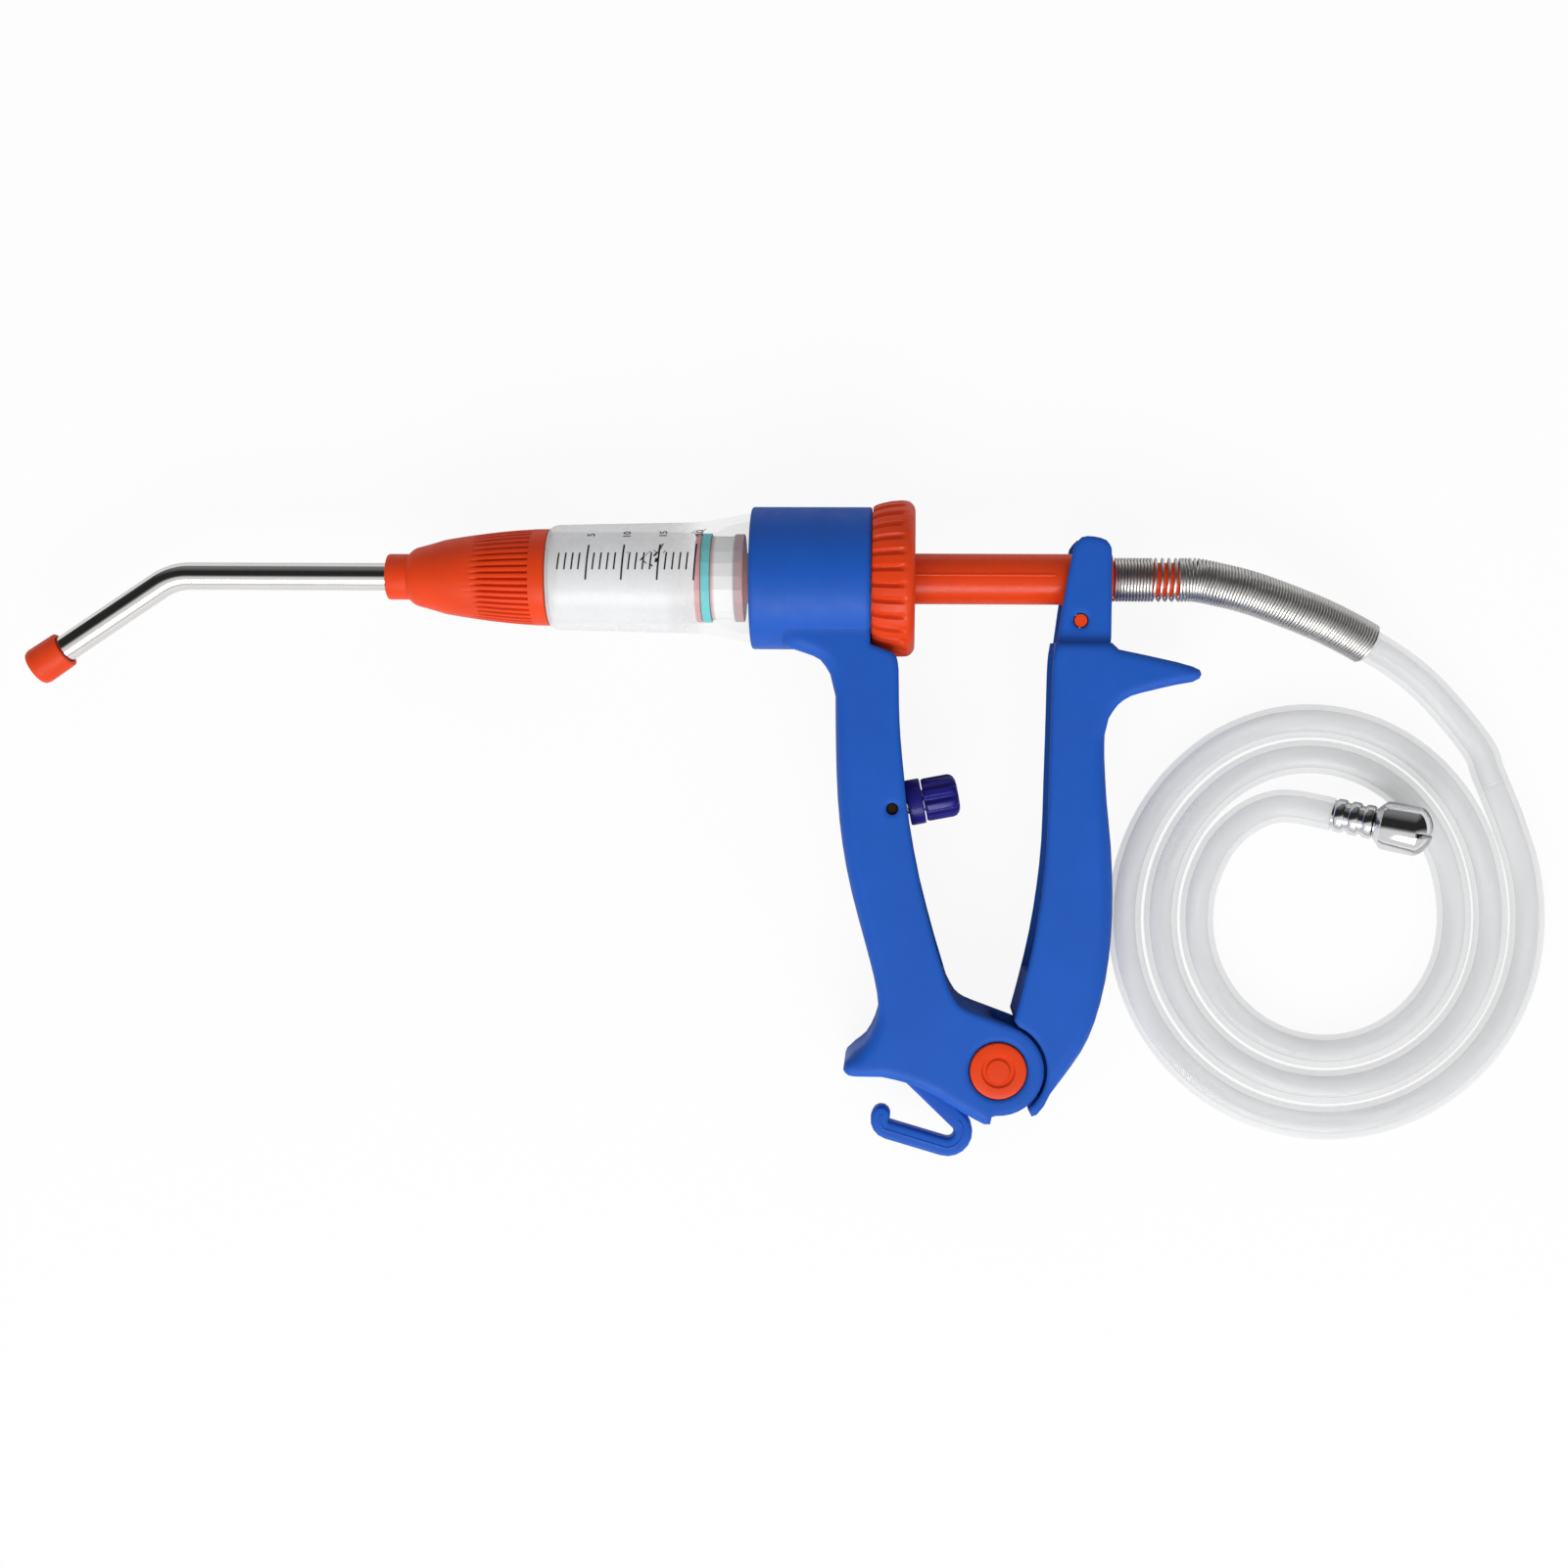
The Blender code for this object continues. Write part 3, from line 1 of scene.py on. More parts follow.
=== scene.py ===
"""The looks of an automatic drench gun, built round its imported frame.

Lengths are in millimetres until a piece is placed. In the gun's frame X runs along the barrel
towards the hose, Y up from the lower pivot and Z across the handles, and the zero is on the
barrel's axis over the pivot. The hose is drawn in the table's frame, with the same zero.
"""
import math

import bmesh
import bpy
from bpy.props import FloatProperty, FloatVectorProperty, IntProperty, PointerProperty
from bpy.types import Operator, Panel, PropertyGroup
from mathutils import Matrix, Vector


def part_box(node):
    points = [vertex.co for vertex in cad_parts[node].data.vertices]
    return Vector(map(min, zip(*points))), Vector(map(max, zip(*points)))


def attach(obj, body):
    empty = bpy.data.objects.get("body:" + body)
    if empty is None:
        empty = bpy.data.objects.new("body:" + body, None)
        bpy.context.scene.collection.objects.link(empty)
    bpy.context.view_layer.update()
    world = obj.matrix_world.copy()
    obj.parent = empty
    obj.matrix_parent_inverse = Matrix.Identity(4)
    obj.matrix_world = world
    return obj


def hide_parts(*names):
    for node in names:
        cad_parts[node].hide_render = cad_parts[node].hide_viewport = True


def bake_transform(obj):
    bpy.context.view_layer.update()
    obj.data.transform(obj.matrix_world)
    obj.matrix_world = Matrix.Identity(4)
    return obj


bl_info = {
    "name": "Drench gun looks",
    "version": (1, 0, 0),
    "blender": (4, 5, 0),
    "location": "View3D > Sidebar > Drench gun",
    "description": "Builds the visible pieces of an automatic drench gun round its frame",
    "category": "Object",
}

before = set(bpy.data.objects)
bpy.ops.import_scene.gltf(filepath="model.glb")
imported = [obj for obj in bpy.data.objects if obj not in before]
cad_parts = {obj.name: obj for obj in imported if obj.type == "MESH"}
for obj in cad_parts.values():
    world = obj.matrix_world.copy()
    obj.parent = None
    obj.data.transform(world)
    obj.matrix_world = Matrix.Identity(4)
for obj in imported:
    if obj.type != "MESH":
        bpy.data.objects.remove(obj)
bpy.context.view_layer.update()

# Gaps round what turns or slides, and between faces that meet
GAP = 0.3
FACE_GAP = 0.3

# Sizes of the frame's pieces that the looks fit
NUT_R = 21.6
NUT_RIBS = 30
BORE_R = 12.6
BARREL_FRONT_R = BORE_R + 2.0
BARREL_BODY_R = BORE_R + 2.8
BARREL_FLARE_R = 17.9
BARREL_FLANGE_R = 18.35
BARREL_NECK_R = 9.6
BARREL_NECK_BORE_R = 7.0
SLEEVE_R = 19.7
SLEEVE_FRONT_X = -69.0
SLEEVE_REAR_X = -35.8
ROD_R = 7.0
ROD_BORE_R = 3.2
PISTON_FRONT_X = -84.3
PISTON_HEAD_L = 13.2
PISTON_SOCKET_L = 3.4
ROD_FRONT_X = PISTON_FRONT_X + PISTON_HEAD_L - PISTON_SOCKET_L + FACE_GAP
ROD_END_X = 30.3
TAIL_R = 4.7
TAIL_END_X = 48.5
YOKE_HALF = 6.9
YOKE_DROP = 4.0
YOKE_REAR = 4.4
PIVOT_DROP = 134.7
PIVOT_PIN_R = 2.5
PIVOT_CAP_R = 7.75
PIVOT_CAP_PROUD = 0.8
PIVOT_CAP_L = 3.0
PIN_X = 21.2
PIN_DROP = 11.5
DRIVE_PIN_R = 1.75
HANDLE_HALF = 13.5
HANDLE_WALL = 2.8
HANDLE_ROUND = 4.0
EAR_HALF = 10.6
EAR_WALL = 2.8
LEVER_BACK_X = 29.5
CHEEK_R = 12.5
CHEEK_SLOT_HALF = 8.5
LEVER_LIP_R = 13.4
HUB_R = 9.2
HUB_HALF = CHEEK_SLOT_HALF - GAP
POCKET_R = 6.9
POCKET_Z = 1.5
BUSH_R = 3.9
GRIP_TOP_Y = -30.0
GRIP_LOW_Y = -PIVOT_DROP + 20.0
STOP_X = -29.6
STOP_Y = -63.1
STOP_TILT = math.radians(11.0)
STOP_PIVOT_R = 1.35
STOP_SCREW_R = 3.0
COLLAR_R = 6.35
COLLAR_FROM = 4.3
COLLAR_L = 4.3
KNOB_R = 6.0
KNOB_L = 9.7
KNOB_FLUTES = 9
HOOK_WIDTH = 5.2
HOOK_HALF = 3.0
HOOK_BEND_R = 4.4
HOOK_TIP_R = 2.9
HOOK_LEG_DEG = 46.0
NOSE_RIBS = 44
FERRULE_X = -146.5
NOZZLE_R = 3.85
NOZZLE_BORE_R = 2.9
NOZZLE_KNEE_X = -232.6
NOZZLE_BEND_R = 16.5
NOZZLE_BEND = math.radians(33.5)
NOZZLE_LEG = 46.3
TIP_L = 10.4
TIP_WALL = 1.5
TIP_HOLE_R = 1.75
HOSE_R = 4.65
HOSE_BORE_R = 3.1
HOSE_REST = HOSE_R + 0.05
COIL_CENTRE = (92.4, -94.05)
COIL_RX = 56.2
COIL_RY = 57.4
COIL_STEP = 10.15
COIL_START_DEG = -30.0
COIL_END_DEG = 930.0
COIL_EASE_DEG = 120
LOOP_POINTS = 24
SPRING_COIL_R = 5.7
SPRING_FROM_X = 30.9
SPRING_END = (102.1, -16.8, 12.0)
FITTING_FROM_CENTRE = (1.3, 29.8)
FITTING_TILT_DEG = 18.5
FITTING_HEADING_DEG = -12.0
RING_COUNT = 3
RING_STEP = 4.0
RINGS_END = RING_COUNT * RING_STEP - 0.5
STRAINER_FROM = RINGS_END + FACE_GAP
STRAINER_L = 15.5

# Where these looks differ from the frame's pieces
YOKE_FRONT = 3.9
TIP_DRAWN_L = 10.2
SPRING_WIRE_R = 0.39
LOOSE_CURLS = 4
LOOSE_FROM_SHARE = 0.152
LOOSE_STRETCH = 2.1

# The share of a moulding's edge rounding that a crisp edge keeps
CRISP = 0.08
# The angle between faces from which a moulding's edge is shaded sharp
CREASE_DEG = 32

# A millimetre in metres, and a metre in millimetres
MM = 0.001
METRE = 1000.0
TO_METRES = Matrix.Scale(MM, 4)
ALONG_X = Matrix.Rotation(math.pi / 2, 4, "Y")

# Where the table and the gun stand in the frame, in metres
ROLL = math.radians(2.9555127)
TABLE = Matrix.Translation((0.110633671, 0.069653578, 0.0))
GUN = TABLE @ Matrix.Translation((0, 0, NUT_R * MM)) @ Matrix.Rotation(ROLL, 4, "X")


def inward(outline, i):
    """The inward normal at a point of an anticlockwise outline."""
    before = Vector(outline[i - 1][:2])
    here = Vector(outline[i][:2])
    after = Vector(outline[(i + 1) % len(outline)][:2])
    first = (here - before).normalized()
    second = (after - here).normalized()
    along = first + second
    if along.length < 0.001:
        along = second
    along.normalize()
    return Vector((-along.y, along.x))


def smooth(points, per=4):
    """A Catmull-Rom line through the points, of any number of coordinates."""
    spots = [Vector(p) for p in points]
    line = []
    for i in range(len(spots) - 1):
        p1, p2 = spots[i], spots[i + 1]
        p0 = spots[i - 1] if i > 0 else p1 * 2 - p2
        p3 = spots[i + 2] if i + 2 < len(spots) else p2 * 2 - p1
        for k in range(per):
            t = k / per
            line.append(0.5 * (2 * p1 + (p2 - p0) * t + (2 * p0 - 5 * p1 + 4 * p2 - p3) * t * t
                               + (3 * p1 - p0 - 3 * p2 + p3) * t ** 3))
    line.append(spots[-1])
    return line


def arc(centre, radius, start_deg, end_deg, count):
    """Points on an arc, ends included."""
    step = (end_deg - start_deg) / (count - 1)
    angles = [math.radians(start_deg + step * k) for k in range(count)]
    return [(centre[0] + radius * math.cos(a), centre[1] + radius * math.sin(a)) for a in angles]


def lengths(path):
    """How far along the path each of its points is."""
    total = [0.0]
    for a, b in zip(path, path[1:]):
        total.append(total[-1] + (b - a).length)
    return total


def at_length(path, total, distance):
    """The point and the heading of path at a distance along it."""
    for i in range(len(path) - 1):
        if distance <= total[i + 1] or i == len(path) - 2:
            step = path[i + 1] - path[i]
            share = (distance - total[i]) / (total[i + 1] - total[i])
            return path[i] + step * share, step.normalized()


def grip(x, part_of):
    return x, GRIP_TOP_Y + (GRIP_LOW_Y - GRIP_TOP_Y) * part_of


def low(x, up):
    return x, up - PIVOT_DROP


def rounded(points, share):
    """Outline points with their share of the edge rounding."""
    return [(p[0], p[1], share) for p in points]


def front_handle_outline():
    back = [(-36.0, -13.0), (-60.0, -13.0)]
    throat = smooth([(-59.5, -19.0), (-54.0, -20.7), (-49.6, -22.6), (-46.9, -26.5)], 2)
    grip_front = smooth([grip(-45.4, 0.03), grip(-45.2, 0.19), grip(-44.6, 0.36),
                         grip(-43.2, 0.51), grip(-40.7, 0.66), grip(-36.9, 0.825),
                         grip(-34.2, 0.945), low(-33.0, 17.0), low(-34.0, 11.6),
                         low(-36.5, 6.8), low(-39.6, 4.2)], 2)
    spur = smooth([low(-42.0, 1.6), low(-42.5, -0.6), low(-41.0, -2.2), low(-38.5, -2.5)], 2)
    underside = smooth([low(-31.8, -2.7), low(-24.4, -4.4), low(-17.0, -7.6),
                        low(-9.5, -12.3), low(-3.6, -15.4)], 2)
    heel = [low(-2.0, -14.9), low(-1.6, -12.9)]
    cheek = arc((0, -PIVOT_DROP), CHEEK_R, -92, 71, 18)
    saddle = smooth([low(-4.4, 14.9), low(-8.8, 16.6), low(-11.6, 18.7), grip(-14.0, 0.965)], 2)
    grip_rear = smooth([grip(-17.5, 0.83), grip(-21.7, 0.645), grip(-24.8, 0.455),
                        grip(-26.3, 0.31), grip(-27.5, 0.17), grip(-28.0, 0.06),
                        (-28.2, -25.0), (-28.8, -21.6)], 2)
    lug = [(-30.0, -20.4), (-36.0, -18.2)]
    return (rounded(back, 0.4) + rounded(throat, 1.0) + rounded(grip_front, 1.0)
            + rounded(spur, 0.5) + rounded(underside, 0.8) + rounded(heel, 0.2)
            + rounded(cheek, CRISP) + rounded(saddle, CRISP) + rounded(grip_rear, CRISP)
            + rounded(lug, CRISP))


def front_channel_outline():
    """The handle's hollow, open towards the lever and up to the retaining nut."""
    wall = HANDLE_WALL + 0.4
    front = smooth([grip(-45.3 + wall, 0.03), grip(-45.2 + wall, 0.19), grip(-44.6 + wall, 0.36),
                    grip(-43.2 + wall, 0.51), grip(-40.7 + wall, 0.66), grip(-36.9 + wall, 0.825),
                    grip(-31.5, 0.91)], 2)
    mouth = [grip(-28.0, 0.93), grip(-9.0, 0.93), grip(-14.0, 0.60), grip(-20.0, 0.0)]
    sleeve_low = -SLEEVE_R - 2.5
    face = SLEEVE_REAR_X - 0.15
    under_nut = [(-20.0, -15.0), (face, -15.0), (face, sleeve_low),
                 (-41.0, sleeve_low), (-42.2, -24.5)]
    return [tuple(p) for p in front] + mouth + under_nut


def lever_grip_outline():
    front = smooth([(13.9, -20.8), (13.6, -25.5), grip(13.4, 0.094), grip(13.0, 0.318),
                    grip(12.6, 0.51), grip(11.4, 0.664), grip(9.4, 0.818), grip(6.7, 0.962),
                    low(4.3, 13.8)], 2)
    lip_arc = arc((0, -PIVOT_DROP), LEVER_LIP_R, 66, -52, 15)
    lip = [low(9.3, -12.7), low(10.7, -12.2), low(12.7, -9.7), low(14.3, -6.4)]
    palm = smooth([low(17.2, -3.1), low(22.8, 5.1), low(26.4, 13.3), grip(29.2, 0.943),
                   grip(30.6, 0.799), grip(30.8, 0.664), grip(30.2, 0.51), grip(28.9, 0.365),
                   grip(28.1, 0.221), grip(28.1, 0.148)], 2)
    spur_low = smooth([(29.0, -38.0), (31.4, -34.4), (35.0, -31.9), (40.4, -30.4),
                       (46.1, -29.0), (51.5, -28.0)], 2)
    spur_tip = [(53.2, -27.0), (53.7, -25.8), (53.2, -24.7)]
    spur_top = [(51.4, -23.8), (47.1, -22.6), (39.3, -20.9), (31.5, -19.3)]
    crown = [(29.6, -17.5), (14.3, -17.5)]
    return (rounded(front, CRISP) + rounded(lip_arc, CRISP) + rounded(lip, 0.35)
            + rounded(palm, 1.0) + rounded(spur_low, 0.6) + rounded(spur_tip, 0.35)
            + rounded(spur_top, 0.5) + rounded(crown, 0.5))


def lever_head_outline():
    front = [(18.6, 5.6), (17.5, -0.1), (16.2, -8.6), (15.2, -16.4), (14.6, -22.0)]
    back = [(29.0, -22.0), (LEVER_BACK_X, -16.0), (LEVER_BACK_X, 3.6)]
    top = smooth([(29.3, 8.2), (27.9, 10.3), (24.5, 11.3), (21.2, 11.1), (19.2, 8.6)], 2)
    return rounded(front + back, 0.25) + rounded(top, 0.3)


def lever_channel_outline():
    """The lever's hollow, open towards the front handle."""
    wall = HANDLE_WALL
    back = smooth([grip(26.2 - 0.5, 0.93), grip(30.5 - wall, 0.799), grip(30.7 - wall, 0.664),
                   grip(30.1 - wall, 0.51), grip(28.8 - wall, 0.365), grip(28.0 - wall, 0.221),
                   grip(28.0 - wall, 0.03)], 2)
    top = [(LEVER_BACK_X - wall, -24.0), (LEVER_BACK_X - wall, -19.8), (6.0, -19.8)]
    mouth = [grip(5.0, 0.5), grip(-1.0, 0.93)]
    return [tuple(p) for p in back] + top + mouth


def hook_path():
    """The hook's centreline, from its root in the handle to its curled tip."""
    bend = low(-13.5, -19.3)
    tip = low(-29.5, -16.3)
    leg = math.radians(HOOK_LEG_DEG)
    leg_end = (bend[0] + HOOK_BEND_R * math.cos(leg), bend[1] + HOOK_BEND_R * math.sin(leg))
    root = (leg_end[0] - 17.2, leg_end[1] + 16.4)
    return ([root, leg_end] + arc(bend, HOOK_BEND_R, 40, -106, 9)
            + arc(tip, HOOK_TIP_R, 254, 150, 6))


def ribbon(path, width):
    """The outline of a strap of even width along the path, with round ends."""
    spots = [Vector(p) for p in path]
    left, right = [], []
    for i, spot in enumerate(spots):
        before = spots[max(i - 1, 0)]
        after = spots[min(i + 1, len(spots) - 1)]
        along = (after - before).normalized()
        side = Vector((-along.y, along.x)) * width / 2
        left.append(spot + side)
        right.append(spot - side)
    ends = []
    for spot, other in ((spots[-1], spots[-2]), (spots[0], spots[1])):
        along = (spot - other).normalized()
        heading = math.degrees(math.atan2(along.y, along.x))
        ends.append(arc(spot, width / 2, heading - 60, heading + 60, 5))
    return [tuple(p) for p in right] + ends[0] + [tuple(p) for p in reversed(left)] + ends[1]


def leg_direction():
    return Vector((-math.cos(NOZZLE_BEND), -math.sin(NOZZLE_BEND), 0))


def nozzle_path():
    """The nozzle's centreline, from the ferrule round the bend to its end."""
    knee = Vector((NOZZLE_KNEE_X, 0, 0))
    back = NOZZLE_BEND_R * math.tan(NOZZLE_BEND / 2)
    start = Vector((FERRULE_X - FACE_GAP, 0, 0))
    centre = Vector((NOZZLE_KNEE_X + back, -NOZZLE_BEND_R, 0))
    steps = 24
    curve = []
    for k in range(steps + 1):
        angle = math.pi / 2 + NOZZLE_BEND * k / steps
        curve.append(centre + Vector((math.cos(angle), math.sin(angle), 0)) * NOZZLE_BEND_R)
    return [start] + curve + [knee + leg_direction() * NOZZLE_LEG]


def coil_step(angle_deg):
    """How far in the loops have come at an angle, eased in at the end of each turn."""
    turn = math.floor(angle_deg / 360)
    into_ease = angle_deg - 360 * turn - (360 - COIL_EASE_DEG)
    share = min(max(into_ease / COIL_EASE_DEG, 0.0), 1.0)
    return COIL_STEP * (turn + share * share * (3 - 2 * share))


def coil_point(angle_deg):
    """A point of the flat loops, clockwise from the right."""
    inner = coil_step(angle_deg)
    angle = math.radians(angle_deg)
    return Vector((COIL_CENTRE[0] + (COIL_RX - inner) * math.cos(angle),
                   COIL_CENTRE[1] - (COIL_RY - inner) * math.sin(angle), HOSE_REST))


def bridge(start, heading, end, end_heading, pull, count):
    """A smooth line between two points with given headings, start left out."""
    line = []
    for k in range(1, count + 1):
        t = k / count
        line.append(start * (2 * t ** 3 - 3 * t * t + 1)
                    + heading * pull * (t ** 3 - 2 * t * t + t)
                    + end * (3 * t * t - 2 * t ** 3)
                    + end_heading * pull * (t ** 3 - t * t))
    return line


def fitting_frame():
    """Where the hose ends in the suction fitting, and the fitting's heading, up over a loop."""
    heading = math.radians(FITTING_HEADING_DEG)
    tilt = math.radians(FITTING_TILT_DEG)
    along = Vector((math.cos(heading) * math.cos(tilt), math.sin(heading) * math.cos(tilt),
                    math.sin(tilt)))
    across, up = FITTING_FROM_CENTRE
    height = HOSE_REST + 2 * HOSE_R * along.z
    return Vector((COIL_CENTRE[0] + across, COIL_CENTRE[1] + up, height)), along


def coil_mouth():
    """Where the coil's straight first length begins, and its heading."""
    first = coil_point(COIL_START_DEG)
    heading = (coil_point(COIL_START_DEG + 4) - coil_point(COIL_START_DEG)).normalized()
    return first - heading * (2 * HOSE_R), heading


def coil_path():
    """The flat loops, and the hose's rise from the last of them to the fitting."""
    step = 360 / LOOP_POINTS
    count = round((COIL_END_DEG - COIL_START_DEG) / step)
    points = [coil_point(COIL_START_DEG + step * k) for k in range(count + 1)]
    end, along = fitting_frame()
    straight = end - along * (2 * HOSE_R)
    heading = (coil_point(COIL_END_DEG + 1) - coil_point(COIL_END_DEG - 1)).normalized()
    level = Vector((along.x, along.y, 0))
    curve = bridge(points[-1], heading, straight, level, 30.0, 5)
    return [coil_mouth()[0]] + points + curve + [end]


def lead_path():
    """The free hose from the rod's tail to the coil."""
    tail = Vector((TAIL_END_X + FACE_GAP, 0, NUT_R))
    mouth, heading = coil_mouth()
    route = [tail, tail + Vector((4.5, 0, 0)), Vector((59, -1.1, 21.3)),
             Vector((68, -3.2, 20.3)), Vector((80, -7.2, 18.0)), Vector((91, -11.4, 15.0)),
             Vector(SPRING_END), Vector((113, -23.2, 8.8)),
             Vector((122.5, -31.0, 6.2)), mouth - heading * 12.0, mouth - heading * 4.0,
             mouth - heading * FACE_GAP]
    return route


def length_to(route, total, x):
    """The length along route at which it passes x."""
    for i in range(len(route) - 1):
        if route[i].x <= x <= route[i + 1].x:
            share = (x - route[i].x) / (route[i + 1].x - route[i].x)
            return total[i] + (total[i + 1] - total[i]) * share
    return total[-1]


# Mesh makers, in millimetres

def in_scene(name, data):
    item = bpy.data.objects.new(name, data)
    bpy.context.scene.collection.objects.link(item)
    return item


def finished_mesh(item):
    """A new mesh of the item as it looks with its modifiers."""
    bpy.context.view_layer.update()
    graph = bpy.context.evaluated_depsgraph_get()
    return bpy.data.meshes.new_from_object(item.evaluated_get(graph))


def shaded(mesh, sharp_deg):
    """The mesh shaded smooth, but for edges past the angle."""
    mesh.shade_smooth()
    mesh.set_sharp_from_angle(angle=math.radians(sharp_deg))
    return mesh


def plain_mesh(shell, name):
    mesh = bpy.data.meshes.new(name)
    shell.to_mesh(mesh)
    shell.free()
    return mesh


def mesh_of(shell, name, sharp_deg=30):
    bmesh.ops.recalc_face_normals(shell, faces=shell.faces)
    return shaded(plain_mesh(shell, name), sharp_deg)


def softened(profile, closed=True, radius=0.35, steps=3):
    """The profile with each corner rounded, so that its edges catch the light."""
    count = len(profile)
    soft = []
    for i, here in enumerate(profile):
        spot = Vector(here[:2])
        if not closed and i in (0, count - 1):
            soft.append(here)
            continue
        before = Vector(profile[i - 1][:2])
        after = Vector(profile[(i + 1) % count][:2])
        back, ahead = before - spot, after - spot
        if back.length < 0.01 or ahead.length < 0.01:
            soft.append(here)
            continue
        reach = min(radius, back.length * 0.45, ahead.length * 0.45)
        a = spot + back.normalized() * reach
        b = spot + ahead.normalized() * reach
        for k in range(steps + 1):
            t = k / steps
            bend = a * (1 - t) ** 2 + spot * 2 * t * (1 - t) + b * t * t
            soft.append((bend.x, bend.y) + tuple(here[2:]))
    return soft


def groove(angle, count, width):
    """How deep a rounded groove is at an angle, from 0 to 1."""
    place = abs((angle * count / (2 * math.pi)) % 1.0 - 0.5) / (width / 2)
    return max(0.0, 1.0 - place * place)


def turned(name, profile, steps=96, flutes=None, sharp_deg=30):
    """A turned piece from (along, radius, share) rows; flutes are (count, depth, width)."""
    shell = bmesh.new()
    closed = profile[0][1] > 0.001
    rings = []
    for row in profile:
        along, radius = row[0], row[1]
        share = row[2] if len(row) > 2 else 0.0
        if radius < 0.001:
            rings.append([shell.verts.new((0, 0, along))])
            continue
        ring = []
        for k in range(steps):
            angle = 2 * math.pi * k / steps
            r = radius
            if flutes and share:
                r -= flutes[1] * share * groove(angle, flutes[0], flutes[2])
            ring.append(shell.verts.new((r * math.cos(angle), r * math.sin(angle), along)))
        rings.append(ring)
    pairs = list(zip(rings, rings[1:]))
    if closed:
        pairs.append((rings[-1], rings[0]))
    for first, second in pairs:
        for k in range(steps):
            m = (k + 1) % steps
            if len(first) == 1 and len(second) == 1:
                break
            if len(first) == 1:
                shell.faces.new((first[0], second[k], second[m]))
            elif len(second) == 1:
                shell.faces.new((first[k], second[0], first[m]))
            else:
                shell.faces.new((first[k], second[k], second[m], first[m]))
    return mesh_of(shell, name, sharp_deg)


def frames_along(path):
    """A steady side and up direction at each point of the path."""
    frames = []
    side = None
    for i, spot in enumerate(path):
        before = path[max(i - 1, 0)]
        after = path[min(i + 1, len(path) - 1)]
        along = (after - before).normalized()
        if side is None:
            side = along.cross(Vector((0, 0, 1)))
            if side.length < 0.01:
                side = along.cross(Vector((0, 1, 0)))
        side = (side - along * side.dot(along)).normalized()
        frames.append((spot, side, along.cross(side).normalized()))
    return frames


def swept(name, path, radius, sides, bore=0.0):
    """A round rod along the path, or a tube when it has a bore."""
    shell = bmesh.new()
    path = [Vector(p) for p in path]
    frames = frames_along(path)
    done = lengths(path)
    layer = shell.loops.layers.uv.new("along_and_round")

    def skin(r):
        rings = []
        for spot, side, up in frames:
            angles = [2 * math.pi * k / sides for k in range(sides)]
            rings.append([shell.verts.new(spot + (side * math.cos(a) + up * math.sin(a)) * r)
                          for a in angles])
        for i, (first, second) in enumerate(zip(rings, rings[1:])):
            for k in range(sides):
                m = (k + 1) % sides
                face = shell.faces.new((first[k], first[m], second[m], second[k]))
                spots = ((done[i], k), (done[i], k + 1), (done[i + 1], k + 1), (done[i + 1], k))
                for loop, (length, turn) in zip(face.loops, spots):
                    loop[layer].uv = (length / 100.0, turn / sides)
        return rings

    outer = skin(radius)
    if bore:
        inner = skin(bore)
        for a, b in ((outer[0], inner[0]), (inner[-1], outer[-1])):
            for k in range(sides):
                m = (k + 1) % sides
                shell.faces.new((a[k], b[k], b[m], a[m]))
    else:
        shell.faces.new(outer[0])
        shell.faces.new(outer[-1])
    return mesh_of(shell, name, 40)


def moulded(name, outline, half, rounding, rings=8):
    """A moulding across Z with the outline (x, y, share); each edge is rounded by its share."""
    layers = []
    for ring in range(rings + 1):
        angle = math.pi / 2 * ring / rings
        layer = []
        for i, (x, y, share) in enumerate(outline):
            spot = Vector((x, y)) + inward(outline, i) * rounding * share * (1 - math.cos(angle))
            layer.append((spot.x, spot.y, half - rounding * share * (1 - math.sin(angle))))
        layers.append(layer)
    stack = [[(x, y, -z) for x, y, z in layer] for layer in reversed(layers)] + layers
    shell = bmesh.new()
    grid = [[shell.verts.new(spot) for spot in layer] for layer in stack]
    count = len(outline)
    for lower, upper in zip(grid, grid[1:]):
        for i in range(count):
            j = (i + 1) % count
            shell.faces.new((lower[i], lower[j], upper[j], upper[i]))
    shell.faces.new(list(reversed(grid[0])))
    shell.faces.new(grid[-1])
    return mesh_of(shell, name, CREASE_DEG)


def slab(name, outline, low_z, high_z):
    """A flat blank or cutter with a plain outline."""
    shell = bmesh.new()
    lower = [shell.verts.new((p[0], p[1], low_z)) for p in outline]
    upper = [shell.verts.new((p[0], p[1], high_z)) for p in outline]
    count = len(outline)
    for i in range(count):
        j = (i + 1) % count
        shell.faces.new((lower[i], lower[j], upper[j], upper[i]))
    shell.faces.new(list(reversed(lower)))
    shell.faces.new(upper)
    return mesh_of(shell, name)


def drill(name, low_z, high_z, radius, steps=48):
    profile = [(high_z, 0), (high_z, radius), (low_z, radius), (low_z, 0)]
    return turned(name, profile, steps)


def moved(mesh, matrix):
    mesh.transform(matrix)
    return mesh


def along_x(mesh):
    return moved(mesh, ALONG_X)


def at_spot(mesh, x, y, z=0.0, turn=None):
    matrix = Matrix.Translation((x, y, z))
    if turn is not None:
        matrix = matrix @ turn
    return moved(mesh, matrix)


def together(name, meshes):
    """One mesh of several loose ones."""
    shell = bmesh.new()
    for mesh in meshes:
        shell.from_mesh(mesh)
        bpy.data.meshes.remove(mesh)
    return plain_mesh(shell, name)


def joined(*meshes):
    return [("UNION", mesh) for mesh in meshes]


def cut(*meshes):
    return [("DIFFERENCE", mesh) for mesh in meshes]


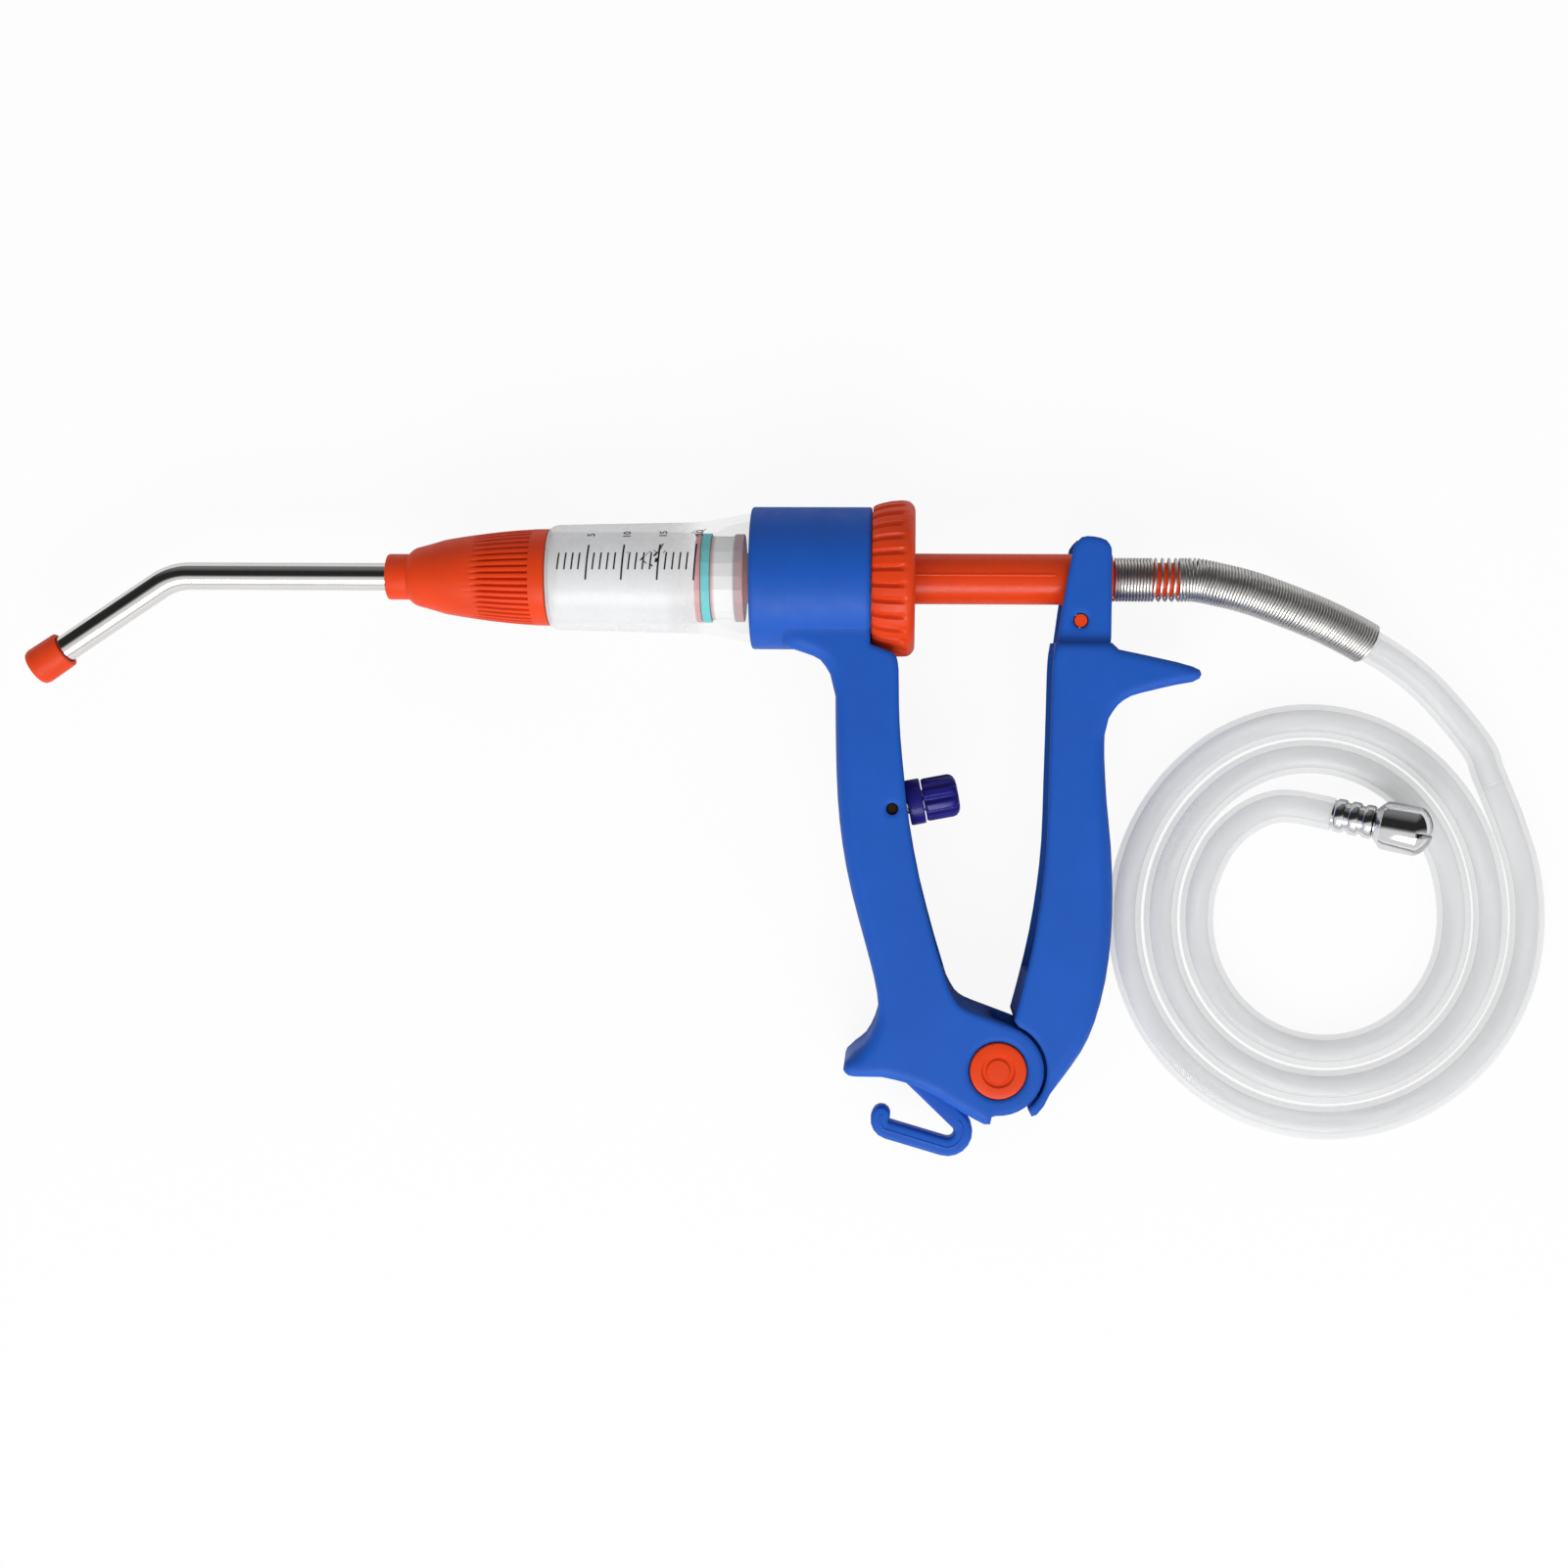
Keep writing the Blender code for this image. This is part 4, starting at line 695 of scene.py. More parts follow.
def carved(mesh, steps):
    """The mesh after others were joined to it or cut from it, a step at a time."""
    blank = in_scene("blank", mesh)
    others = []
    for operation, other in steps:
        piece = in_scene("other", other)
        modifier = blank.modifiers.new("carve", "BOOLEAN")
        modifier.operation = operation
        modifier.object = piece
        others.append(piece)
    result = finished_mesh(blank)
    for item in others + [blank]:
        data = item.data
        bpy.data.objects.remove(item, do_unlink=True)
        bpy.data.meshes.remove(data)
    return shaded(result, CREASE_DEG)


def evened(mesh):
    """Shading weighted by face area, so that flats stay flat beside their rounded edges."""
    item = in_scene("evened", mesh)
    modifier = item.modifiers.new("shading", "WEIGHTED_NORMAL")
    modifier.keep_sharp = True
    modifier.weight = 60
    result = finished_mesh(item)
    bpy.data.objects.remove(item, do_unlink=True)
    bpy.data.meshes.remove(mesh)
    return result


def set_down(name, mesh, where, body, finish, nodes=()):
    """Puts a finished mesh in the frame, on its body, in the place of its CAD nodes."""
    mesh.transform(where @ TO_METRES)
    mesh.name = name
    mesh.materials.clear()
    mesh.materials.append(finish)
    item = in_scene(name, mesh)
    if body is not None:
        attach(item, body)
    if nodes:
        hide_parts(*nodes)
    return item


def refinish(node, finish):
    """A CAD node that keeps its own shape gets this finish."""
    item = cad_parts[node]
    for place in item.material_slots:
        place.material = finish
    if not item.material_slots:
        item.data.materials.append(finish)


# Finishes

def tones(colour, spread):
    """A darker and a lighter tone of the colour."""
    dark = [c * (1 - spread) for c in colour]
    light = [min(c * (1 + spread), 1.0) for c in colour]
    return dark, light


def share_along(tree, place, axis, start, end):
    """A node whose result runs from 0 to 1 between two places along an axis."""
    split = tree.nodes.new("ShaderNodeSeparateXYZ")
    tree.links.new(place, split.inputs[0])
    spread = tree.nodes.new("ShaderNodeMapRange")
    spread.inputs["From Min"].default_value = start
    spread.inputs["From Max"].default_value = end
    tree.links.new(split.outputs[axis], spread.inputs["Value"])
    return spread


class Finish:
    """A material and its nodes, built up a step at a time."""

    def __init__(self, name):
        self.look = bpy.data.materials.new(name)
        self.look.use_nodes = True
        self.tree = self.look.node_tree
        self.nodes = self.tree.nodes
        self.links = self.tree.links
        self.shader = self.nodes["Principled BSDF"]
        self.place = self.nodes.new("ShaderNodeTexCoord").outputs["Object"]

    def put(self, socket, value):
        self.shader.inputs[socket].default_value = value
        return self

    def noise(self, scale, detail=2.0, roughness=0.5, place=None):
        node = self.nodes.new("ShaderNodeTexNoise")
        node.inputs["Scale"].default_value = scale
        node.inputs["Detail"].default_value = detail
        node.inputs["Roughness"].default_value = roughness
        self.links.new(place or self.place, node.inputs["Vector"])
        return node.outputs["Fac"]

    def ramp(self, source, stops):
        node = self.nodes.new("ShaderNodeValToRGB")
        ramp = node.color_ramp
        while len(ramp.elements) < len(stops):
            ramp.elements.new(0.5)
        for element, (place, value) in zip(ramp.elements, stops):
            element.position = place
            colour = value if isinstance(value, (tuple, list)) else (value, value, value)
            element.color = (*colour[:3], 1.0)
        self.links.new(source, node.inputs["Fac"])
        return node.outputs["Color"]

    def mottled(self, colour, scale, spread):
        """The colour, a little darker and lighter in soft patches."""
        dark, light = tones(colour, spread)
        patches = self.ramp(self.noise(scale, 3.0), [(0.3, dark), (0.7, light)])
        self.links.new(patches, self.shader.inputs["Base Color"])
        return self

    def streaked(self, colour, spread):
        """The colour with soft streaks that run along the hose."""
        stretch = self.nodes.new("ShaderNodeMapping")
        stretch.inputs["Scale"].default_value = (2.5, 9.0, 1.0)
        source = self.nodes["Texture Coordinate"].outputs["UV"]
        self.links.new(source, stretch.inputs["Vector"])
        dark, light = tones(colour, spread)
        along = self.noise(1.0, 4.0, place=stretch.outputs["Vector"])
        streaks = self.ramp(along, [(0.32, dark), (0.68, light)])
        self.links.new(streaks, self.shader.inputs["Base Color"])
        return self

    def uneven_gloss(self, scale, low_value, high_value):
        """A roughness that changes softly between two values."""
        gloss = self.ramp(self.noise(scale, 4.0, 0.6), [(0.35, low_value), (0.65, high_value)])
        self.links.new(gloss, self.shader.inputs["Roughness"])
        return self

    def grain(self, scale, depth, distance=0.0001, edge=0.0):
        """A fine uneven surface, with edges softened over the edge radius."""
        bump = self.nodes.new("ShaderNodeBump")
        if edge:
            soft = self.nodes.new("ShaderNodeBevel")
            soft.samples = 6
            soft.inputs["Radius"].default_value = edge
            self.links.new(soft.outputs["Normal"], bump.inputs["Normal"])
        bump.inputs["Strength"].default_value = depth
        bump.inputs["Distance"].default_value = distance
        self.links.new(self.noise(scale), bump.inputs["Height"])
        self.links.new(bump.outputs["Normal"], self.shader.inputs["Normal"])
        return self


def moulded_plastic(name, colour, low_gloss, high_gloss, grain_scale, grain_depth, spread=0.06,
                    edge=0.0):
    finish = Finish(name)
    finish.put("Specular IOR Level", 0.22)
    finish.mottled(colour, 60.0, spread).uneven_gloss(220.0, low_gloss, high_gloss)
    finish.grain(grain_scale, grain_depth, edge=edge)
    return finish.look


def polished_metal(name, colour, low_gloss, high_gloss, scratch):
    finish = Finish(name)
    finish.put("Metallic", 1.0)
    finish.mottled(colour, 90.0, 0.03).uneven_gloss(400.0, low_gloss, high_gloss)
    finish.grain(2600.0, scratch, 0.00002)
    return finish.look


# Sizes and colours that a user would change

class BarrelSettings(PropertyGroup):
    wall_colour: FloatVectorProperty(
        name="Wall colour", description="Frosted plastic of the dose barrel",
        subtype="COLOR", size=3, min=0.0, max=1.0, default=(0.84, 0.85, 0.86))
    clearness: FloatProperty(
        name="Clearness", description="How much of the inside shows through the barrel wall",
        subtype="FACTOR", min=0.0, max=1.0, default=0.72)
    mark_width: FloatProperty(
        name="Mark width", description="Printed width of one mark of the dose scale",
        unit="LENGTH", min=0.0001, max=0.001, default=0.00044)
    marks: IntProperty(
        name="Marks", description="Millilitre marks on the dose scale", min=5, max=20, default=20)


class PlasticSettings(PropertyGroup):
    handle_blue: FloatVectorProperty(
        name="Handle blue", description="Moulded plastic of the handles and the hook",
        subtype="COLOR", size=3, min=0.0, max=1.0, default=(0.0065, 0.084, 0.44))
    fitting_orange: FloatVectorProperty(
        name="Fitting orange",
        description="Moulded plastic of the nose, tip, nut, rod, drive pin and pivot caps",
        subtype="COLOR", size=3, min=0.0, max=1.0, default=(0.68, 0.046, 0.004))
    knob_navy: FloatVectorProperty(
        name="Knob navy", description="Moulded plastic of the dose knob and its collar",
        subtype="COLOR", size=3, min=0.0, max=1.0, default=(0.016, 0.014, 0.20))


class HoseSettings(PropertyGroup):
    tint: FloatVectorProperty(
        name="Tint", description="Clear soft plastic of the feed hose",
        subtype="COLOR", size=3, min=0.0, max=1.0, default=(0.70, 0.71, 0.72))
    curls: IntProperty(
        name="Spring curls", description="Curls of the strain relief spring",
        min=40, max=98, default=82)


class StageSettings(PropertyGroup):
    key_power: FloatProperty(
        name="Key light", description="Power of the softbox below the picture",
        unit="POWER", min=0.0, max=200.0, default=17.0)
    sky: FloatProperty(
        name="Surrounding light", description="Strength of the light from all round",
        min=0.0, max=2.0, default=0.75)


def settings():
    return bpy.context.scene.drench_gun


# Scale on the barrel

# Where the mark of each millilitre stands, as unevenly as it is printed
MARK_X = (-121.38, -119.44, -117.51, -115.62, -113.42, -111.67, -109.71, -107.75, -105.79,
          -103.65, -101.85, -99.92, -97.93, -95.92, -93.81, -91.83, -89.82, -87.89, -85.94, -83.77)
MARK_DEG = (6.4, 25.0)
MARK_SLANT = 0.42
LONG_MARK_DEG = (-4.4, 34.5)
LONG_MARK_SLANT = 0.66
LONG_MARK_WIDER = 1.15
LONG_MARK_EVERY = 5
NUMERALS = (("5", -112.7), ("10", -102.8), ("15", -92.8), ("20", -82.8))
NUMERAL_MIDDLE_DEG = 49.5
NUMERAL_HEIGHT = 2.1
FONT_PER_HEIGHT = 1.38
INK_LIFT = 0.05
# Where the ink has run or flaked: place along, angle, length in degrees, width, lean
SMUDGES = ((-94.5, 20.5, 5.0, 0.7, 0.9), (-94.3, 14.0, 4.5, 0.8, 0.3),
           (-93.4, 27.0, 4.0, 0.45, 0.8), (-92.9, 31.5, 3.5, 0.4, 0.5),
           (-94.9, 25.5, 2.2, 0.3, -0.6), (-92.2, 24.0, 3.0, 0.25, 0.7),
           (-98.2, 16.0, 4.5, 0.5, 0.9), (-97.4, 12.5, 3.0, 0.4, -0.7),
           (-97.0, 21.0, 3.2, 0.22, 0.6), (-95.6, 9.5, 2.4, 0.5, -0.5),
           (-96.2, 24.5, 1.8, 0.3, 0.5), (-83.6, 43.5, 7.0, 0.3, -1.7),
           (-82.0, 47.0, 9.0, 0.26, 1.6), (-84.6, 50.0, 5.0, 0.24, 1.1),
           (-102.3, 24.0, 2.0, 0.2, 0.4))
# The barrel's outside round its measured part, from the flare to the nose
MEASURED_OUTSIDE = ((-81.0, 15.85), (-85.0, BARREL_BODY_R), (-123.0, BARREL_FRONT_R))


def barrel_radius(x):
    """The barrel's outer radius where the scale is printed."""
    rows = MEASURED_OUTSIDE[::-1]
    for (x0, r0), (x1, r1) in zip(rows, rows[1:]):
        if x <= x1:
            return r0 + (r1 - r0) * (x - x0) / (x1 - x0)
    return rows[-1][1]


def on_barrel(x, angle):
    radius = barrel_radius(x) + INK_LIFT
    return Vector((x, radius * math.sin(angle), radius * math.cos(angle)))


def mark_strip(shell, x, low_deg, high_deg, width, slant):
    """One printed stroke round the barrel, that leans along it by the slant."""
    steps = 10
    row = []
    for k in range(steps + 1):
        angle = math.radians(low_deg + (high_deg - low_deg) * k / steps)
        lean = slant * (k / steps - 0.5)
        row.append((shell.verts.new(on_barrel(x - width / 2 + lean, angle)),
                    shell.verts.new(on_barrel(x + width / 2 + lean, angle))))
    for a, b in zip(row, row[1:]):
        shell.faces.new((a[0], a[1], b[1], b[0]))


def numeral(text, x, middle_deg, height):
    """A printed number that reads round the barrel, as a mesh on its surface."""
    curve = bpy.data.curves.new("numeral", "FONT")
    curve.body = text
    curve.align_x = "CENTER"
    curve.align_y = "CENTER"
    curve.size = height * FONT_PER_HEIGHT
    curve.offset = 0.05
    curve.resolution_u = 4
    item = in_scene("numeral", curve)
    mesh = finished_mesh(item)
    bpy.data.objects.remove(item, do_unlink=True)
    bpy.data.curves.remove(curve)
    for vertex in mesh.vertices:
        across, up = vertex.co.x, vertex.co.y
        angle = math.radians(middle_deg) + across / barrel_radius(x)
        vertex.co = on_barrel(x - up, angle)
    return mesh


def scale_mesh(marks, width):
    """The printed marks, with the ink's smudges and the numbers of the long ones."""
    shell = bmesh.new()
    for i, x in enumerate(MARK_X[:marks]):
        if (i + 1) % LONG_MARK_EVERY == 0:
            mark_strip(shell, x, *LONG_MARK_DEG, width * LONG_MARK_WIDER, LONG_MARK_SLANT)
        else:
            mark_strip(shell, x, *MARK_DEG, width, MARK_SLANT)
    for x, angle, length, thick, lean in SMUDGES:
        mark_strip(shell, x, angle, angle + length, thick, lean)
    mesh = mesh_of(shell, "scale")
    numbers = [numeral(text, x, NUMERAL_MIDDLE_DEG, NUMERAL_HEIGHT) for text, x in NUMERALS]
    return together("scale", [mesh] + numbers)


def barrel_mesh():
    flare = [(-54.9, 15.8), (-54.9, BARREL_FLANGE_R), (-58.9, BARREL_FLANGE_R),
             (-59.0, BARREL_FLARE_R), (-69.5, BARREL_FLARE_R), (-72.0, 17.45), (-75.0, 16.9),
             (-78.0, 16.3)]
    neck = [(-124.2, 14.3), (-124.8, 13.9), (-125.3, 13.7), (-125.3, BARREL_NECK_R),
            (-144.2, BARREL_NECK_R), (-144.2, BARREL_NECK_BORE_R)]
    inside = [(-127.2, BARREL_NECK_BORE_R), (-127.2, 3.2), (-124.6, 3.2), (-124.6, BORE_R),
              (-79.0, BORE_R), (-75.0, 14.6), (-69.0, 15.8)]
    profile = flare + list(MEASURED_OUTSIDE) + neck + inside
    return along_x(turned("barrel", softened(profile, radius=0.5), 128))


# Where the wall turns clear, in the frame's metres, and how much it covers on each side of that
CLEAR_FROM, CLEAR_AT = 0.018, 0.028
FROSTED_COVER, CLEAR_COVER = 1.9, 0.3


def clearer_round_piston(finish, cover):
    """Hide more through the measured part than where the seal wets the wall."""
    spread = share_along(finish.tree, finish.place, "X", CLEAR_FROM, CLEAR_AT)
    spread.inputs["To Min"].default_value = min(cover * FROSTED_COVER, 1.0)
    spread.inputs["To Max"].default_value = cover * CLEAR_COVER
    finish.links.new(spread.outputs["Result"], finish.shader.inputs["Alpha"])


class DRENCH_OT_barrel(Operator):
    """Make the frosted dose barrel with its printed scale"""
    bl_idname = "drench.barrel"
    bl_label = "Barrel and scale"

    def execute(self, context):
        chosen = settings().barrel
        frosted = Finish("barrel_frosted")
        frosted.mottled(chosen.wall_colour, 45.0, 0.03).uneven_gloss(150.0, 0.22, 0.34)
        frosted.grain(900.0, 0.12).put("IOR", 1.45).put("Specular IOR Level", 0.6)
        clearer_round_piston(frosted, 1.0 - chosen.clearness)
        set_down("barrel_look", barrel_mesh(), GUN, "gun_frame", frosted.look, ["barrel"])
        ink = Finish("scale_ink")
        ink.mottled((0.012, 0.012, 0.014), 900.0, 0.5).uneven_gloss(900.0, 0.45, 0.7)
        scale = scale_mesh(chosen.marks, chosen.mark_width * METRE)
        set_down("barrel_scale", scale, GUN, "gun_frame", ink.look, ())
        return {"FINISHED"}


# Nose, nozzle and tip

def nose_mesh():
    shown = [(-125.6, 9.9), (-125.6, 13.2), (-125.8, 13.45), (-129.7, 13.4), (-129.9, 13.35),
             (-130.0, 13.35, 0.0), (-130.3, 13.32, 1.0), (-134.0, 13.1, 1.0),
             (-138.0, 12.75, 1.0), (-142.0, 12.3, 1.0), (-143.6, 12.1, 0.85),
             (-145.0, 11.9, 0.45), (-146.2, 11.75, 0.0), (-150.0, 11.2), (-155.0, 10.35),
             (-158.2, 9.4), (-160.0, 8.9), (-163.0, 8.1), (-164.2, 7.4), (-164.9, 6.75),
             (-165.2, 6.4), (-170.6, 6.4), (-171.1, 6.25), (-171.3, 5.8), (-171.3, 4.15),
             (-149.6, 4.15), (-149.6, 9.9)]
    return along_x(turned("nose", shown, NOSE_RIBS * 8, (NOSE_RIBS, 0.95, 0.52), 28))


def nozzle_mesh():
    return swept("nozzle", nozzle_path(), NOZZLE_R, 48, NOZZLE_BORE_R)


def tip_mesh():
    low_s = NOZZLE_LEG + TIP_WALL + FACE_GAP - TIP_L
    high_s = low_s + TIP_DRAWN_L
    wall_s = high_s - TIP_WALL
    bore_r = NOZZLE_R + GAP
    profile = [(high_s, TIP_HOLE_R), (high_s, 4.5), (high_s - 0.3, 4.95), (high_s - 0.8, 5.2),
               (high_s - 1.6, 5.4), (low_s + 1.0, 5.25), (low_s + 0.2, 5.2), (low_s, 5.0),
               (low_s, bore_r), (wall_s, bore_r), (wall_s, TIP_HOLE_R)]
    turn = Vector((0, 0, 1)).rotation_difference(leg_direction()).to_matrix().to_4x4()
    return at_spot(turned("tip", softened(profile, radius=0.2), 72), NOZZLE_KNEE_X, 0, 0, turn)


class DRENCH_OT_nose(Operator):
    """Make the ribbed nose cap, the bent nozzle and its push-on tip"""
    bl_idname = "drench.nose"
    bl_label = "Nose, nozzle and tip"

    def execute(self, context):
        orange = settings().plastic.fitting_orange
        nose = moulded_plastic("nose_orange", orange, 0.36, 0.46, 1500.0, 0.10)
        set_down("nose_cap_look", nose_mesh(), GUN, "gun_frame", nose, ["nose_cap"])
        chrome = polished_metal("nozzle_chrome", (0.80, 0.79, 0.78), 0.04, 0.10, 0.05)
        set_down("nozzle_tube_look", nozzle_mesh(), GUN, "nozzle", chrome, ["nozzle_tube"])
        tip = moulded_plastic("tip_orange", orange, 0.42, 0.52, 1300.0, 0.12)
        set_down("nozzle_tip_look", tip_mesh(), GUN, "tip", tip, ["nozzle_tip"])
        return {"FINISHED"}


# Nut and rod

def nut_mesh():
    shown = [(-23.9, 17.6), (-23.9, 19.0), (-24.05, 19.6), (-24.5, 20.4), (-25.2, 21.1),
             (-26.0, 21.45, 0.0), (-26.8, 21.55, 0.25), (-27.6, 21.58, 0.7), (-28.6, 21.55, 1.0),
             (-30.6, 21.35, 1.0), (-32.6, 20.95, 1.0), (-34.2, 20.5, 1.0), (-35.1, 20.1, 1.0),
             (-35.5, 19.7, 0.9), (-35.5, 18.35), (-39.7, 18.35), (-39.7, 15.0), (-30.7, 15.0),
             (-30.7, 9.0), (-27.9, 9.0), (-27.9, 17.6)]
    return along_x(turned("nut", shown, NUT_RIBS * 16, (NUT_RIBS, 1.1, 0.5), 24))


def rod_mesh():
    front = ROD_FRONT_X
    chamber_r = ROD_BORE_R + 1.0
    profile = [(TAIL_END_X, ROD_BORE_R), (TAIL_END_X, TAIL_R), (ROD_END_X, TAIL_R),
               (ROD_END_X, ROD_R), (front, ROD_R), (front, chamber_r), (front + 4.2, chamber_r),
               (front + 4.2, ROD_BORE_R)]
    rod = along_x(turned("rod", softened(profile, radius=0.4), 72))
    front_x, rear_x, low_y = PIN_X - YOKE_FRONT, PIN_X + YOKE_REAR, -PIN_DROP - YOKE_DROP
    lug = [(front_x, -5.0), (front_x, low_y + 1.0), (front_x + 1.0, low_y),
           (rear_x - 1.0, low_y), (rear_x, low_y + 1.0), (rear_x, -5.0)]
    rise = math.hypot(PIN_X, PIVOT_DROP - PIN_DROP) - (PIVOT_DROP - PIN_DROP)
    reach = DRIVE_PIN_R + GAP
    slot = (arc((PIN_X, -PIN_DROP + rise), reach, 0, 180, 17)
            + arc((PIN_X, -PIN_DROP), reach, 180, 360, 17))
    body = carved(rod, joined(slab("lug", lug, -YOKE_HALF, YOKE_HALF))
                  + cut(slab("slot", slot, -20, 20)))
    beads = [swept("bead", [(-30.0, y, z), (14.5, y, z)], 0.5, 12)
             for y, z in ((0.9, 6.66), (-0.9, -6.66))]
    return together("rod", [body] + beads)


class DRENCH_OT_nut_and_rod(Operator):
    """Make the wavy retaining nut and the orange piston rod with its yoke"""
    bl_idname = "drench.nut_and_rod"
    bl_label = "Nut and rod"

    def execute(self, context):
        orange = settings().plastic.fitting_orange
        nut = moulded_plastic("nut_orange", orange, 0.30, 0.42, 1200.0, 0.10)
        set_down("retaining_nut_look", nut_mesh(), GUN, "gun_frame", nut, ["retaining_nut"])
        rod = moulded_plastic("rod_orange", orange, 0.22, 0.32, 700.0, 0.08, 0.05)
        set_down("piston_rod_look", rod_mesh(), GUN, "piston", rod, ["piston_rod"])
        return {"FINISHED"}


# Handles

def front_handle_mesh():
    """The grip with its barrel sleeve, hollowed and bored for what it holds."""
    blank = moulded("front_handle", front_handle_outline(), HANDLE_HALF, HANDLE_ROUND)
    rim = [(SLEEVE_FRONT_X, 0), (SLEEVE_FRONT_X, SLEEVE_R - 0.6),
           (SLEEVE_FRONT_X + 0.2, SLEEVE_R - 0.2), (SLEEVE_FRONT_X + 0.7, SLEEVE_R),
           (SLEEVE_REAR_X - 0.5, SLEEVE_R), (SLEEVE_REAR_X, SLEEVE_R - 0.4), (SLEEVE_REAR_X, 0)]
    sleeve = along_x(turned("sleeve", rim, 128))
    inner = HANDLE_HALF - HANDLE_WALL
    channel = slab("channel", front_channel_outline(), -inner, inner)
    seat_r, flare_r, step_x = BARREL_FLANGE_R + GAP, BARREL_FLARE_R + GAP, -59.2
    bore = [(SLEEVE_REAR_X + 2, 0), (SLEEVE_REAR_X + 2, seat_r), (step_x, seat_r),
            (step_x, flare_r), (SLEEVE_FRONT_X - 2, flare_r), (SLEEVE_FRONT_X - 2, 0)]
    barrel_bore = along_x(turned("bore", bore, 128))
    slot, slot_r, hole_r = CHEEK_SLOT_HALF, LEVER_LIP_R + 0.5, PIVOT_PIN_R + GAP
    seat = HANDLE_HALF + PIVOT_CAP_PROUD - PIVOT_CAP_L - FACE_GAP
    cap_r = PIVOT_CAP_R + GAP
    pivot_cut = [(30, 0), (30, cap_r), (seat, cap_r), (seat, hole_r), (slot, hole_r),
                 (slot, slot_r), (-slot, slot_r), (-slot, hole_r), (-seat, hole_r),
                 (-seat, cap_r), (-30, cap_r), (-30, 0)]
    pivot = at_spot(turned("pivot_cut", pivot_cut, 96), 0, -PIVOT_DROP)
    stop_hole = at_spot(drill("stop_hole", -30, 30, STOP_PIVOT_R + GAP, 40), STOP_X, STOP_Y)
    hook_half = HOOK_HALF + GAP
    hook_slot = slab("hook_slot", ribbon(hook_path()[:4], HOOK_WIDTH + 2 * GAP), -hook_half,
                     hook_half)
    steps = joined(sleeve) + cut(channel, barrel_bore, pivot, stop_hole, hook_slot)
    return evened(carved(blank, steps))


def rear_lever_mesh():
    """The lever with its head, forked for the rod and hollowed, on its pivot hub."""
    blank = moulded("rear_lever", lever_grip_outline(), HANDLE_HALF, HANDLE_ROUND)
    head = moulded("lever_head", lever_head_outline(), EAR_HALF, 2.0)
    inner = HANDLE_HALF - HANDLE_WALL
    channel = slab("lever_channel", lever_channel_outline(), -inner, inner)
    fork = EAR_HALF - EAR_WALL
    through = slab("fork", [(10, -12.0), (40, -12.0), (40, 20), (10, 20)], -fork, fork)
    back_x = LEVER_BACK_X - HANDLE_WALL
    below = slab("fork_low", [(8, -24.5), (back_x, -24.5), (back_x, -10), (8, -10)], -fork, fork)
    pin = at_spot(drill("pin_hole", -20, 20, DRIVE_PIN_R + GAP, 40), PIN_X, -PIN_DROP)
    hub = at_spot(drill("hub", -HUB_HALF, HUB_HALF, HUB_R, 64), 0, -PIVOT_DROP)
    wedge = [(0.0, 0.0)] + arc((0, 0), LEVER_LIP_R + 1.1, -35, 52, 19)
    tongue = at_spot(slab("tongue", wedge, 0.1 - HUB_HALF, HUB_HALF - 0.1), 0, -PIVOT_DROP)
    bush_r = BUSH_R + GAP
    bore = [(20, 0), (20, POCKET_R), (POCKET_Z, POCKET_R), (POCKET_Z, bush_r), (-20, bush_r),
            (-20, 0)]
    hub_bore = at_spot(turned("hub_bore", bore, 64), 0, -PIVOT_DROP)
    steps = joined(head) + cut(channel, through, below, pin) + joined(hub, tongue)
    return evened(carved(blank, steps + cut(hub_bore)))


class DRENCH_OT_handles(Operator):
    """Make the front handle with its sleeve, and the rear lever"""
    bl_idname = "drench.handles"
    bl_label = "Handles"

    def execute(self, context):
        blue = settings().plastic.handle_blue
        matt = moulded_plastic("handle_blue", blue, 0.44, 0.54, 1800.0, 0.22, 0.05, 0.0025)
        set_down("front_handle_look", front_handle_mesh(), GUN, "gun_frame", matt,
                 ["front_handle"])
        set_down("rear_lever_look", rear_lever_mesh(), GUN, "lever", matt, ["rear_lever"])
        return {"FINISHED"}


# Pivot caps and hook

def pivot_cap_mesh():
    """A round cap with an inner button, a groove round it and a socket for the pin."""
    top = HANDLE_HALF + PIVOT_CAP_PROUD
    low_z, socket_z = top - PIVOT_CAP_L, top - 1.6
    hole_r = PIVOT_PIN_R + GAP
    profile = [(top, 0), (top, 2.4), (top - 0.05, 3.0), (top - 0.35, 3.25), (top - 0.6, 3.45),
               (top - 0.6, 4.25), (top - 0.3, 4.5), (top, 4.7), (top, 7.1), (top - 0.15, 7.5),
               (top - 0.5, PIVOT_CAP_R), (low_z, PIVOT_CAP_R), (low_z, hole_r),
               (socket_z, hole_r), (socket_z, 0)]
    return turned("pivot_cap", profile, 96)


def hook_mesh():
    """The hook's flat strap with a raised bead along its near face."""
    outline = rounded(ribbon(hook_path(), HOOK_WIDTH), 1.0)
    strap = moulded("hook", outline, HOOK_HALF, 1.1, 5)
    ridge = [Vector((p[0], p[1], HOOK_HALF - 0.35)) for p in hook_path()[1:]]
    bead = swept("ridge", smooth(ridge, 3), 0.55, 12)
    return together("hook", [strap, bead])


